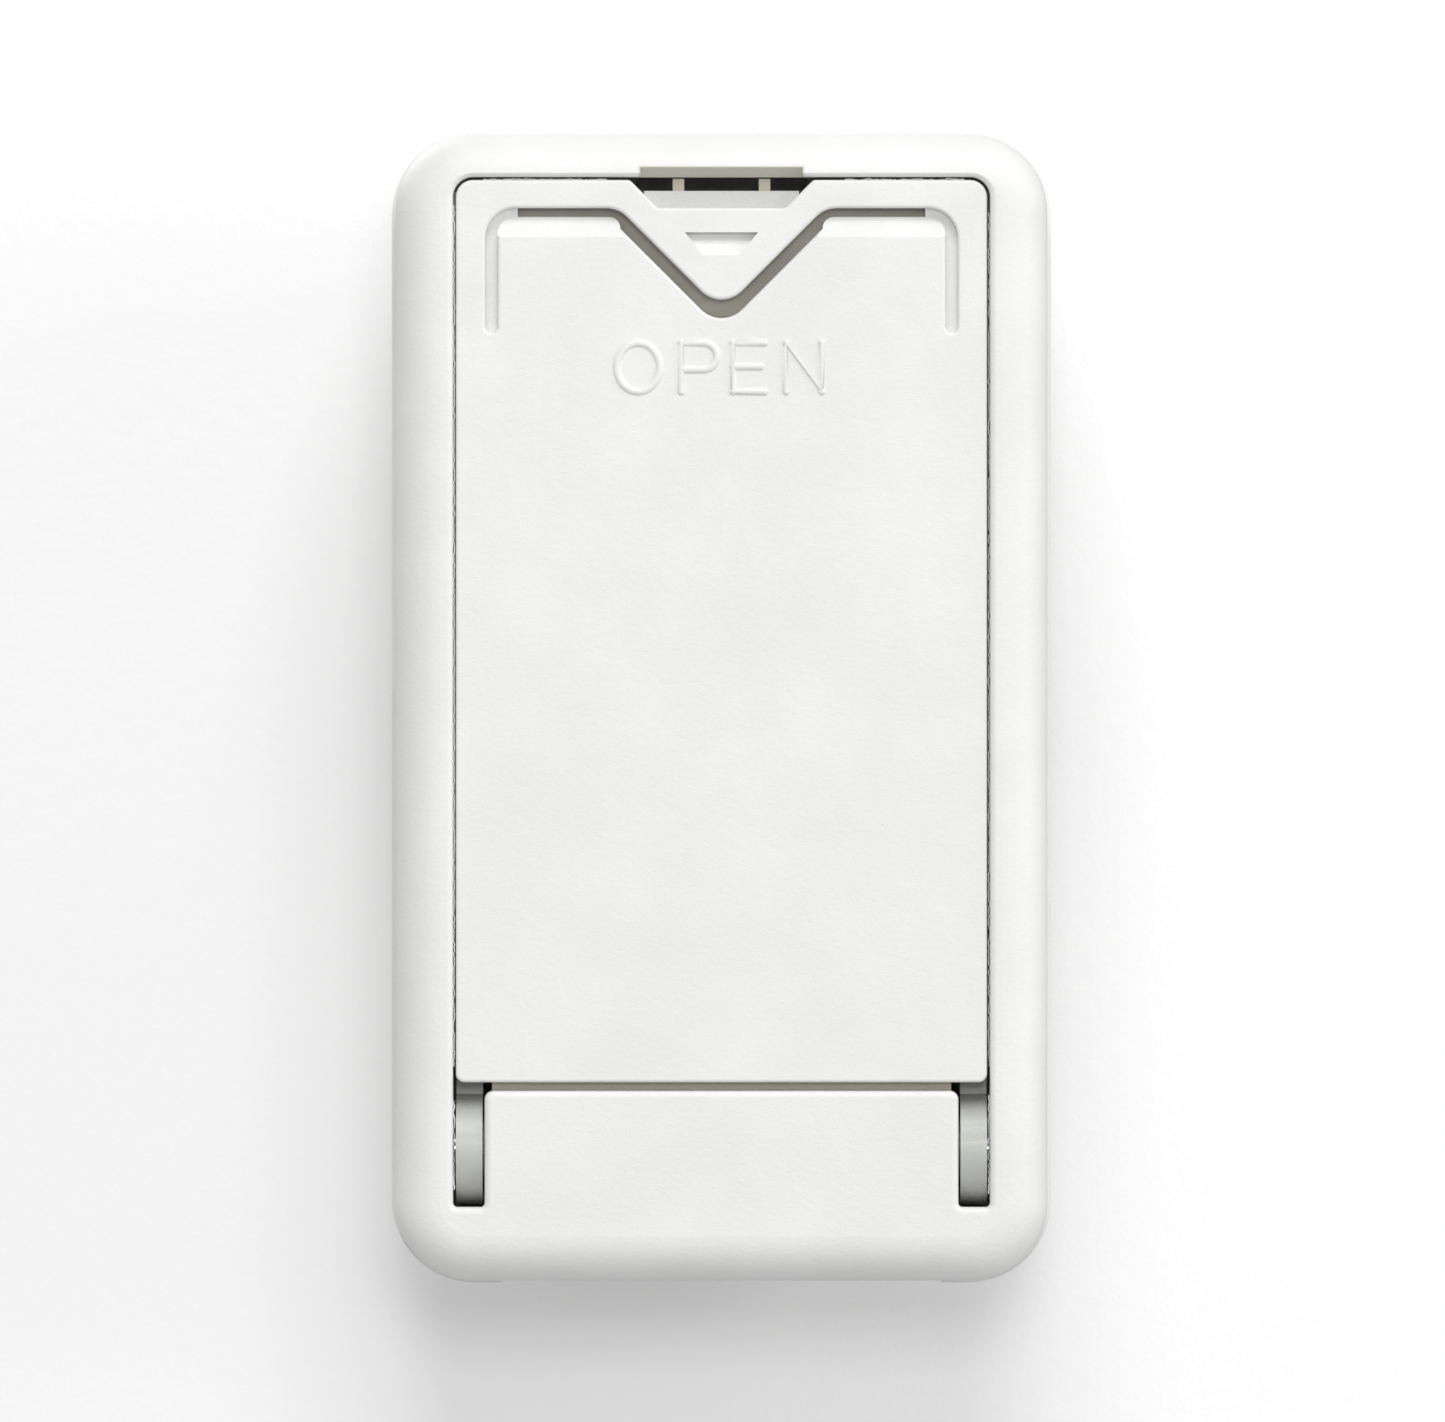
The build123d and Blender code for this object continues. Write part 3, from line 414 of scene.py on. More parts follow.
@dataclass(frozen=True)
class GrainedPlastic:
    """Moulded plastic with a fine spark-eroded grain, a faint flow mottle, a few dust specks, painted shade
    in the grain's pits and painted shade in given boxes.
    """

    name: str
    tint: Colour = (0.80, 0.80, 0.795)
    shade: Colour = (0.765, 0.765, 0.755)
    speck: Colour = (0.42, 0.40, 0.36)
    grain_mm: float = 0.34
    grain_depth_mm: float = 0.034
    fine_share: float = 0.35
    mottle_mm: float = 9.0
    speck_cell_mm: float = 5.5
    speck_radius_mm: float = 0.085
    speck_chance: float = 0.12
    roughness: float = 0.52
    grain_stretch: Point = (1.5, 1.0, 1.0)
    painted_shade: tuple[PaintedShadeBox, ...] = ()
    fine_ratio: float = 2.6
    speck_strength: float = 0.8

    def material(self) -> bpy.types.Material:
        """Builds the material."""
        s = Shader(self.name)
        drawn_out = s.stretched(self.grain_stretch)
        grain = s.noise(self.grain_mm, 2.0, 0.55, drawn_out)
        fine = s.noise(self.grain_mm / self.fine_ratio, 1.0, 0.5, drawn_out)
        height = grain * (1 - self.fine_share) + fine * self.fine_share
        mottle = s.noise(self.mottle_mm, 3.0, 0.6)
        scale = 1 / (self.speck_cell_mm * MM)
        cells = s.node("ShaderNodeTexVoronoi", {"feature": "F1"}, {"Vector": s.place, "Scale": scale})
        near = Wire(s, cells.outputs["Distance"]) < self.speck_radius_mm / self.speck_cell_mm
        tone = s.wire("ShaderNodeSeparateColor", inputs={0: Wire(s, cells.outputs["Color"])})
        chosen = tone < self.speck_chance
        body = s.blend(s.spread(mottle, 0.35, 0.65), self.tint, self.shade)
        # The grain's low points lean up to a tenth toward the darker tone: painted shade in its pits.
        pits = s.blend(s.spread(height, 0.30, 0.44, 0.10, 0.0), body, self.shade)
        colour = s.blend(near * chosen * self.speck_strength, pits, self.speck)
        # Painted shade: inside each given box the colour is blended toward that box's darker tint.
        for place in self.painted_shade:
            colour = s.blend(place.share(s), colour, place.tint)
        rough = s.spread(grain, 0.35, 0.65, self.roughness - 0.06, self.roughness + 0.08)
        return s.finish(
            Base_Color=colour,
            Roughness=rough,
            Normal=s.relief(height, self.grain_depth_mm),
            IOR=1.49,
        )


@dataclass(frozen=True)
class SmoothPlastic:
    """Smooth moulded plastic with faint flow lines, a little translucent."""

    name: str
    # Tint and shade are darker than acetal's own milky white: painted shade for the hinge arms deep in their
    # slots.
    tint: Colour = (0.54, 0.55, 0.52)
    shade: Colour = (0.48, 0.49, 0.46)
    roughness: float = 0.36
    flow_mm: float = 4.0
    ripple_mm: float = 0.7
    ripple_depth_mm: float = 0.006
    subsurface: float = 0.25
    subsurface_radius: Point = (0.0012, 0.0012, 0.0010)

    def material(self) -> bpy.types.Material:
        """Builds the material."""
        s = Shader(self.name)
        flow = s.noise(self.flow_mm, 3.0, 0.6, s.stretched((1.0, 1.0, 2.6)))
        ripple = s.noise(self.ripple_mm, 3.0, 0.6)
        scratch = s.noise(self.ripple_mm / 3, 2.0, 0.7, s.stretched((6.0, 1.0, 1.0)))
        colour = s.blend(s.spread(flow, 0.35, 0.68), self.tint, self.shade)
        rough = s.spread(scratch, 0.3, 0.7, self.roughness - 0.07, self.roughness + 0.10)
        return s.finish(
            Base_Color=colour,
            Roughness=rough,
            Normal=s.relief(ripple, self.ripple_depth_mm),
            Subsurface_Weight=self.subsurface,
            Subsurface_Radius=self.subsurface_radius,
            Subsurface_Scale=1.0,
            IOR=1.48,
        )


@dataclass(frozen=True)
class Metal:
    """Metal with drawn or turned lines along one axis, a patchy plating tone and small scuffs."""

    name: str
    tint: Colour
    shade: Colour
    roughness: float = 0.34
    line_mm: float = 0.12
    line_stretch: Point = (1.0, 1.0, 40.0)
    line_depth_mm: float = 0.002
    patch_mm: float = 5.0

    def material(self) -> bpy.types.Material:
        """Builds the material."""
        s = Shader(self.name)
        lines = s.noise(self.line_mm, 2.0, 0.6, s.stretched(self.line_stretch))
        patches = s.noise(self.patch_mm, 4.0, 0.65)
        scuffs = s.noise(self.patch_mm / 9, 2.0, 0.8)
        worn = s.spread(scuffs, 0.62, 0.78)
        colour = s.blend(s.spread(patches, 0.34, 0.66), self.tint, self.shade)
        rough = s.spread(lines, 0.25, 0.75, self.roughness - 0.10, self.roughness + 0.12) + worn * 0.12
        height = lines * 0.7 + scuffs * 0.3
        return s.finish(
            Base_Color=colour, Metallic=1.0, Roughness=rough, Normal=s.relief(height, self.line_depth_mm)
        )


@dataclass(frozen=True)
class Rubber:
    """Black moulded rubber with a dusty bloom."""

    name: str
    tint: Colour = (0.028, 0.028, 0.029)
    bloom: Colour = (0.085, 0.083, 0.080)
    roughness: float = 0.78

    def material(self) -> bpy.types.Material:
        """Builds the material."""
        s = Shader(self.name)
        dust = s.noise(0.8, 4.0, 0.7)
        skin = s.noise(0.12, 2.0, 0.6)
        colour = s.blend(s.spread(dust, 0.45, 0.75), self.tint, self.bloom)
        rough = s.spread(skin, 0.3, 0.7, self.roughness - 0.08, self.roughness + 0.08)
        return s.finish(Base_Color=colour, Roughness=rough, Normal=s.relief(skin, 0.008))


@dataclass(frozen=True)
class WhiteWall:
    """Matt white ground behind the latch. Its back can be looked through."""

    name: str = "white_wall"
    tint: Colour = (0.94, 0.94, 0.94)
    tooth_mm: float = 1.3
    tooth_depth_mm: float = 0.05

    def material(self) -> bpy.types.Material:
        """Builds the material."""
        s = Shader(self.name)
        tooth = s.noise(self.tooth_mm, 4.0, 0.6)
        s.finish(Base_Color=self.tint, Roughness=0.9, Normal=s.relief(tooth, self.tooth_depth_mm))
        behind = s.wire("ShaderNodeNewGeometry", output="Backfacing")
        clear = s.wire("ShaderNodeBsdfTransparent")
        sides = {0: behind, 1: Wire(s, s.principled.outputs[0]), 2: clear}
        seen = s.wire("ShaderNodeMixShader", inputs=sides)
        s.plug(s.output, "Surface", seen)
        return s.material


# Depths and edges of the boxes of painted shade, in mm
LEDGE_FRONT, LEDGE_BACK = -25.7, -24.0
POCKET_SIDE, POCKET_TOP = 18.8, 37.0
HOOK_FRONT, HOOK_BACK = -26.95, -25.8
HOOK_PLATE_TOP = 36.02

# Painted shade in the catch recess, then on the ledges seen through the gaps at the flap's right side, top
# and foot
SHELL_PAINTED_SHADE = (
    PaintedShadeBox((-5.7, -27.95, 36.9), (5.7, -26.8, 37.65), (0.60, 0.585, 0.51), 0.15),
    PaintedShadeBox((17.6, LEDGE_FRONT, -14.5), (POCKET_SIDE, LEDGE_BACK, POCKET_TOP), (0.24, 0.225, 0.18)),
    PaintedShadeBox(
        (-POCKET_SIDE, LEDGE_FRONT, 36.0), (POCKET_SIDE, LEDGE_BACK, POCKET_TOP), (0.34, 0.32, 0.26)
    ),
    PaintedShadeBox((-16.1, -26.45, -27.7), (16.1, LEDGE_BACK, -25.8), (0.49, 0.46, 0.38)),
)
# Painted shade on the hook plate and the two noses, which sit back from the flap's face
TAB_PAINTED_SHADE = (
    PaintedShadeBox((-5.5, HOOK_FRONT, 34.7), (5.5, HOOK_BACK, HOOK_PLATE_TOP), (0.57, 0.57, 0.555)),
    PaintedShadeBox((-3.5, HOOK_FRONT, HOOK_PLATE_TOP), (3.5, HOOK_BACK, POCKET_TOP), (0.46, 0.43, 0.35)),
)


@dataclass
class Finishes:
    """One material for each finish, made once and shared."""

    # The shell's finish carries painted shade in the catch recess and on the ledges behind the flap's gaps.
    shell: bpy.types.Material = field(
        default_factory=lambda: GrainedPlastic("grained_white_shell", painted_shade=SHELL_PAINTED_SHADE).material()
    )
    # The tab's finish carries painted shade on its hook plate and noses.
    tab: bpy.types.Material = field(
        default_factory=lambda: GrainedPlastic(
            "grained_white_tab", grain_depth_mm=0.031, painted_shade=TAB_PAINTED_SHADE
        ).material()
    )
    flap: bpy.types.Material = field(
        default_factory=lambda: GrainedPlastic("grained_white_flap", grain_depth_mm=0.031).material()
    )
    housing: bpy.types.Material = field(
        default_factory=lambda: GrainedPlastic(
            "satin_white_housing", tint=(0.74, 0.74, 0.73), shade=(0.70, 0.70, 0.685), grain_depth_mm=0.008
        ).material()
    )
    # Its darker default tint is painted shade for the hinge arms deep in their slots, worn by every acetal
    # piece.
    acetal: bpy.types.Material = field(default_factory=lambda: SmoothPlastic("natural_acetal").material())
    # The backing's warm grey stands in for the shade in the narrow gaps it is seen through: painted shade.
    backing: bpy.types.Material = field(
        default_factory=lambda: SmoothPlastic(
            "warm_grey_backing", (0.40, 0.385, 0.33), (0.36, 0.345, 0.295), 0.5, subsurface=0.0
        ).material()
    )
    zinc: bpy.types.Material = field(
        default_factory=lambda: Metal("zinc_plate", (0.66, 0.68, 0.71), (0.56, 0.57, 0.57)).material()
    )
    ground: bpy.types.Material = field(
        default_factory=lambda: Metal(
            "ground_steel", (0.70, 0.70, 0.71), (0.60, 0.60, 0.60), 0.24, line_stretch=(30.0, 30.0, 1.0)
        ).material()
    )
    wire: bpy.types.Material = field(
        default_factory=lambda: Metal("spring_wire", (0.42, 0.42, 0.43), (0.30, 0.29, 0.28), 0.30).material()
    )
    screw: bpy.types.Material = field(
        default_factory=lambda: Metal(
            "bright_screw_steel", (0.68, 0.68, 0.69), (0.58, 0.575, 0.56), 0.28, line_stretch=(1.0, 1.0, 1.0)
        ).material()
    )
    brass: bpy.types.Material = field(
        default_factory=lambda: Metal(
            "turned_brass", (0.78, 0.58, 0.28), (0.62, 0.44, 0.20), 0.30, line_stretch=(30.0, 30.0, 1.0)
        ).material()
    )
    rubber: bpy.types.Material = field(default_factory=lambda: Rubber("black_rubber").material())


# ---------------------------------------------------------------------------------------------- CAD pieces


@dataclass
class CadDressing:
    """Finishes for the CAD pieces, by the record's material slot of each."""

    finishes: Finishes

    def by_slot(self) -> dict[str, bpy.types.Material]:
        """The material that stands for each of the record's slots."""
        f = self.finishes
        return {
            "shell_plastic": f.shell,
            "flap_plastic": f.flap,
            "natural_acetal": f.acetal,
            "backing_plastic": f.backing,
            "housing_plastic": f.housing,
            "zinc_steel": f.zinc,
            "ground_steel": f.ground,
            "spring_steel": f.wire,
            "screw_steel": f.screw,
            "bush_brass": f.brass,
            "buffer_rubber": f.rubber,
        }

    def build(self) -> None:
        """Dresses every CAD node in its slot's material."""
        materials = self.by_slot()
        for subpart in frame["record"]["subparts"]:
            dress(subpart["node"], materials[subpart["material_slot"]])
        # The push tab wears the tab's finish, with painted shade on its hook plate and noses.
        dress("push_tab", self.finishes.tab)


# ---------------------------------------------------------------------------------------------- screws


@dataclass(frozen=True)
class ScrewShape:
    """A cross-recess screw on Z. A countersunk head's top, or a pan head's seat, is at z = 0."""

    head_radius_mm: float
    head_height_mm: float
    shank_radius_mm: float
    length_mm: float
    countersunk: bool
    segments: int = 40
    recess_length: float = 0.62
    recess_width: float = 0.17
    recess_depth: float = 0.62
    recess_taper: float = 0.62

    def profile(self) -> list[tuple[float, float]]:
        """Radius and height of the outside from the edge of the top face to the point, in mm."""
        r, h, shank = self.head_radius_mm, self.head_height_mm, self.shank_radius_mm
        if self.countersunk:
            head = [(r * 0.94, 0.0), (r, -0.07), (r, -0.14), (shank, -h)]
        else:
            dome_angles = (0.95, 1.15, 1.35, math.pi / 2)
            dome = [(math.sin(a) * r, h * (0.45 + 0.55 * math.cos(a))) for a in dome_angles]
            head = [*dome, (r, 0.06), (r * 0.97, 0.0), (shank, 0.0)]
        return [*head, (shank, -self.length_mm + shank), (shank * 0.25, -self.length_mm)]

    def cross(self, share: float, height_mm: float) -> list[Point]:
        """The twelve corners of the recess at a height, shrunk to a share of its size at the top."""
        long = self.head_radius_mm * self.recess_length * share
        short = self.head_radius_mm * self.recess_width * share
        quarter = [(long, -short), (long, short), (short, short)]
        corners = []
        for turn in range(4):
            c, s = math.cos(turn * math.pi / 2), math.sin(turn * math.pi / 2)
            corners += [((x * c - y * s) * MM, (x * s + y * c) * MM, height_mm * MM) for x, y in quarter]
        return corners

    def mesh(self, name: str) -> bpy.types.Mesh:
        """Builds the screw as a closed mesh."""
        work = bmesh.new()
        outline = self.profile()
        turns = [2 * math.pi * k / self.segments for k in range(self.segments)]
        rings = []
        for radius, height in outline:
            circle = [(radius * math.cos(a) * MM, radius * math.sin(a) * MM, height * MM) for a in turns]
            rings.append([work.verts.new(point) for point in circle])
        for upper, lower in zip(rings, rings[1:]):
            for k in range(self.segments):
                j = (k + 1) % self.segments
                work.faces.new((upper[k], lower[k], lower[j], upper[j]))
        work.faces.new(rings[-1][::-1])
        top = outline[0][1]
        bottom = top - self.recess_depth * self.head_height_mm
        mouth = [work.verts.new(point) for point in self.cross(1.0, top)]
        floor = [work.verts.new(point) for point in self.cross(self.recess_taper, bottom)]
        for k in range(len(mouth)):
            j = (k + 1) % len(mouth)
            work.faces.new((mouth[k], mouth[j], floor[j], floor[k]))
        work.faces.new(floor)
        loops = (rings[0], mouth)
        edges = [work.edges.get((loop[k - 1], loop[k])) for loop in loops for k in range(len(loop))]
        bmesh.ops.triangle_fill(work, use_beauty=True, use_dissolve=False, edges=edges)
        bmesh.ops.recalc_face_normals(work, faces=work.faces)
        mesh = bpy.data.meshes.new(name)
        work.to_mesh(mesh)
        work.free()
        return mesh


@dataclass
class ScrewSet:
    """Equal screws at the places of one CAD node, each turned by a chance angle about its own axis."""

    name: str
    node: str
    shape: ScrewShape
    places: Sequence[tuple[Point, Point]]
    body: Body
    material: bpy.types.Material
    seed: int = 1

    def tree(self) -> GeometryTree:
        """Instances a screw on every point, along the point's own facing."""
        g = GeometryTree(self.name + "_on_points")
        screw_object = g.number("Screw", "NodeSocketObject")
        seed = g.number("Seed", "NodeSocketInt")
        own_place = {"transform_space": "ORIGINAL"}
        info = g.wire("GeometryNodeObjectInfo", own_place, {"Object": screw_object}, "Geometry")
        vector = {"data_type": "FLOAT_VECTOR"}
        facing = g.wire("GeometryNodeInputNamedAttribute", vector, {"Name": "facing"})
        aligned = g.wire("FunctionNodeAlignRotationToVector", {"axis": "Z"}, {"Vector": facing})
        chance = g.node("FunctionNodeRandomValue", {"data_type": "FLOAT"}, {"Seed": seed})
        g.plug(chance, 2, 0.0)
        g.plug(chance, 3, math.pi)
        about_own_axis = {0: (0.0, 0.0, 1.0), 1: Wire(g, chance.outputs[1])}
        spin = g.wire("FunctionNodeAxisAngleToRotation", inputs=about_own_axis)
        rotations = {"Rotation": aligned, "Rotate By": spin}
        turned = g.wire("FunctionNodeRotateRotation", {"rotation_space": "LOCAL"}, rotations)
        points = g.wire("GeometryNodeMeshToPoints", {"mode": "VERTICES"}, {"Mesh": g.geometry}, "Points")
        instances = {0: points, "Instance": info, "Rotation": turned}
        g.close(g.wire("GeometryNodeInstanceOnPoints", inputs=instances))
        return g

    def build(self) -> bpy.types.Object:
        """Makes the set as one piece in place of its CAD node."""
        pattern = add_object(self.name + "_pattern", self.shape.mesh(self.name + "_pattern"))
        points = bpy.data.meshes.new(self.name + "_points")
        points.from_pydata([tuple(c * MM for c in place) for place, _ in self.places], [], [])
        facing = points.attributes.new("facing", "FLOAT_VECTOR", "POINT")
        facing.data.foreach_set("vector", [c for _, direction in self.places for c in direction])
        values = {"Screw": pattern, "Seed": self.seed, "Material": self.material}
        piece = self.tree().make(self.name, points, values)
        bpy.data.objects.remove(pattern)
        smooth_by_angle(piece.data, 40.0)
        settle(piece, self.body)
        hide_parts(self.node)
        return piece


@dataclass
class Screws:
    """The four kinds of screw in the latch, with places in mm."""

    finishes: Finishes
    cover_x: float = 11.0
    cover_depth: float = 17.8
    cover_z: float = 40.0
    plate_x: float = 12.0
    plate_z: float = 32.0
    flap_x: float = 14.35
    flap_depth: float = 23.2
    flap_z: tuple[float, float] = (-22.0, -18.0)
    keeper_x: float = 12.2
    keeper_depth: float = 18.8
    keeper_z: tuple[float, float] = (-18.0, 8.0)

    def build(self) -> None:
        """Builds the four sets."""
        sides = (Side.LEFT.value, Side.RIGHT.value)
        ends = (-1, 1)
        to_wall, from_wall = (0.0, 1.0, 0.0), (0.0, -1.0, 0.0)
        cover = [
            ((s * self.cover_x, -self.cover_depth, e * self.cover_z), (0.0, 0.0, float(e)))
            for s in sides
            for e in ends
        ]
        plate = [((s * self.plate_x, 0.0, e * self.plate_z), to_wall) for s in sides for e in ends]
        flap = [((s * self.flap_x, -self.flap_depth, z), to_wall) for s in sides for z in self.flap_z]
        keeper = [
            ((s * self.keeper_x, -self.keeper_depth, z), from_wall) for s in sides for z in self.keeper_z
        ]
        kinds = (
            ("cover", ScrewShape(2.1, 1.1, 1.1, 5.4, True), cover, Body.ROOT),
            ("plate", ScrewShape(2.2, 1.1, 1.2, 7.5, True), plate, Body.ROOT),
            ("flap", ScrewShape(1.9, 0.9, 0.8, 3.5, False), flap, Body.FLAP),
            ("keeper", ScrewShape(1.3, 0.8, 0.7, 3.4, False), keeper, Body.ROOT),
        )
        metal = self.finishes.screw
        for seed, (kind, shape, places, body) in enumerate(kinds, start=1):
            ScrewSet(f"{kind}_cross_screws", f"{kind}_screws", shape, places, body, metal, seed).build()


# ---------------------------------------------------------------------------------------------- springs


@dataclass
class ReturnSprings:
    """The two compression springs over the slide, with closed ends."""

    finishes: Finishes
    spring_x_mm: float = 8.5
    depth_mm: float = 17.8
    bottom_mm: float = 16.0
    top_mm: float = 33.0
    coil_radius_mm: float = 2.15
    wire_radius_mm: float = 0.35
    open_turns: float = 5.0
    end_turns: float = 1.1
    travel_mm: float = 5.03
    points_per_turn: int = 36
    wire_sides: int = 12

    def tree(self) -> GeometryTree:
        """A wire wound from point to point of a line, with close pitch over the end turns."""
        g = GeometryTree("closed_end_spring")
        count = g.number("Points", "NodeSocketInt")
        turns = g.number("Turns")
        end_turns = g.number("End turns")
        coil = g.number("Coil radius")
        wire = g.number("Wire radius")
        height = g.number("Height")
        line = g.wire("GeometryNodeMeshLine", inputs={"Count": count})
        index = g.wire("GeometryNodeInputIndex")
        turn = index / (count - 1) * turns
        pitch_rise = height - wire * 2 - end_turns * wire * 4
        closed = end_turns * wire * 2
        low_end = g.ramp(turn, 0.0, end_turns)
        middle = g.ramp(turn, end_turns, turns - end_turns)
        high_end = g.ramp(turn, turns - end_turns, turns)
        rise = wire + closed * low_end + pitch_rise * middle + closed * high_end
        angle = turn * (2 * math.pi)
        axes = {0: coil * angle.cosine(), 1: coil * angle.sine(), 2: rise}
        place = g.wire("ShaderNodeCombineXYZ", inputs=axes)
        path = g.wire("GeometryNodeSetPosition", inputs={0: line, "Position": place})
        curve = g.wire("GeometryNodeMeshToCurve", inputs={0: path})
        solid = g.swept(curve, wire, self.wire_sides)
        g.close(g.wire("GeometryNodeSetShadeSmooth", inputs={0: solid}))
        return g

    def build(self) -> None:
        """Winds one spring on each side."""
        tree = self.tree()
        turns = self.open_turns + 2 * self.end_turns
        length_mm = self.top_mm - self.bottom_mm
        values = {
            "Points": int(turns * self.points_per_turn),
            "Turns": turns,
            "End turns": self.end_turns,
            "Coil radius": self.coil_radius_mm * MM,
            "Wire radius": self.wire_radius_mm * MM,
            "Height": length_mm * MM,
            "Material": self.finishes.wire,
        }
        for side in Side:
            name = "return_coil_" + side.name.lower()
            piece = tree.make(name, bpy.data.meshes.new(name), values)
            shift = Vector((side.value * self.spring_x_mm, -self.depth_mm, self.bottom_mm)) * MM
            piece.data.transform(Matrix.Translation(shift))
            settle(piece, Body.ROOT)
            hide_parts("return_spring_" + side.name.lower())
            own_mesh(piece)


# ---------------------------------------------------------------------------------------------- flap


# Where the bars bend between the flap and the tab, each way from the middle, in mm
BAR_BEND_START, BAR_BEND_END = 15.5, 6.6


def bend_with_bar(piece: bpy.types.Object) -> None:
    """Bakes a piece of one bar between the flap and the tab into its mesh.

    Args:
        piece: The finished piece.
    """
    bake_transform(piece)
    LOG.info("%s bends between the flap and the tab", piece.name)


@dataclass
class SprungStrips:
    """The two thin strips that spring the tab. They bend between the flap and the tab."""

    finishes: Finishes
    slice_mm: float = 0.45

    def build(self) -> None:
        """Slices a merged copy of each CAD strip finely along its bar, and bakes it in place."""
        for side in Side:
            node = "strip_" + side.name.lower()
            mesh = merged_copy(node)
            work = bmesh.new()
            work.from_mesh(mesh)
            place = BAR_BEND_END + self.slice_mm
            while place < BAR_BEND_START + self.slice_mm:
                parts = [*work.verts, *work.edges, *work.faces]
                bmesh.ops.bisect_plane(
                    work, geom=parts, plane_co=(side.value * place * MM, 0, 0), plane_no=(1, 0, 0), dist=1e-8
                )
                place += self.slice_mm
            work.to_mesh(mesh)
            work.free()
            piece = add_object("sprung_bar_" + side.name.lower(), mesh)
            smooth_by_angle(mesh)
            mesh.materials.clear()
            mesh.materials.append(self.finishes.flap)
            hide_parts(node)
            bend_with_bar(piece)


def merged_copy(node: str) -> bpy.types.Mesh:
    """A copy of a CAD node's mesh with its loose triangles merged."""
    mesh = frame["nodes"][node].data.copy()
    work = bmesh.new()
    work.from_mesh(mesh)
    bmesh.ops.remove_doubles(work, verts=work.verts, dist=2e-6)
    work.to_mesh(mesh)
    work.free()
    return mesh


@dataclass
class FlapWord:
    """The raised one-word instruction across the flap: plain strokes with round ends."""

    finishes: Finishes
    cap_height_mm: float = 4.0
    base_mm: float = 21.7
    bead_radius_mm: float = 0.3
    proud_mm: float = 0.18
    curve_steps: int = 24
    bead_sides: int = 16

    def arc(
        self, x: float, z: float, rx: float, rz: float, first: float, last: float
    ) -> list[tuple[float, float]]:
        """Points on an ellipse between two angles in degrees, with x and z in mm."""
        angles = [first + (last - first) * k / self.curve_steps for k in range(self.curve_steps + 1)]
        return [(x + rx * math.cos(math.radians(a)), z + rz * math.sin(math.radians(a))) for a in angles]

    def strokes(self) -> list[tuple[list[tuple[float, float]], bool]]:
        """Centre lines of the four letters' strokes, and whether each is closed."""
        low = self.base_mm + self.bead_radius_mm
        high = self.base_mm + self.cap_height_mm - self.bead_radius_mm
        middle = (low + high) / 2
        ring = self.arc(-5.8, middle, 1.5, (high - low) / 2, 0, 360)[:-1]
        bowl_height = 0.93
        bowl = self.arc(-1.25, high - bowl_height, bowl_height, bowl_height, 90, -90)
        stem_p = (-2.8, low), (-2.8, high)
        return [
            (ring, True),
            ([stem_p[0], stem_p[1], *bowl, (-2.8, high - 2 * bowl_height)], False),
            ([(3.0, high), (0.8, high), (0.8, low), (3.0, low)], False),
            ([(0.8, middle + 0.05), (2.75, middle + 0.05)], False),
            ([(4.5, low), (4.5, high), (7.0, low), (7.0, high)], False),
        ]

    def tree(self) -> GeometryTree:
        """A round bead along every stroke, with a ball on each end and corner."""
        g = GeometryTree("raised_strokes")
        radius = g.number("Bead radius")
        beads = g.swept(g.geometry, radius, self.bead_sides, capped=False)
        round_end = {"Segments": self.bead_sides, "Rings": self.bead_sides // 2, "Radius": radius}
        ball = g.wire("GeometryNodeMeshUVSphere", inputs=round_end)
        corners = g.wire("GeometryNodeCurveToPoints", {"mode": "EVALUATED"}, {"Curve": g.geometry})
        balls = g.wire("GeometryNodeInstanceOnPoints", inputs={"Points": corners, "Instance": ball})
        joined = g.node("GeometryNodeJoinGeometry")
        g.plug(joined, 0, beads)
        g.plug(joined, 0, balls)
        g.close(g.wire("GeometryNodeSetShadeSmooth", inputs={0: Wire(g, joined.outputs[0])}))
        return g

    def build(self) -> None:
        """Lays the strokes on the flap's face, sunk so that only their crowns stand proud."""
        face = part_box("flap_panel")[0].y / MM
        sunk = face + self.bead_radius_mm - self.proud_mm
        strokes = self.strokes()
        paths = [([(x * MM, sunk * MM, z * MM) for x, z in points], closed) for points, closed in strokes]
        values = {"Bead radius": self.bead_radius_mm * MM, "Material": self.finishes.flap}
        piece = self.tree().make("flap_word", poly_curve(paths), values)
        settle(piece, Body.FLAP)


@dataclass(frozen=True)
class FlashLine:
    """One straight edge with flash on it: its ends and how far the flash reaches, in mm."""

    name: str
    start_mm: Point
    end_mm: Point
    reach_mm: Point
    body: Body


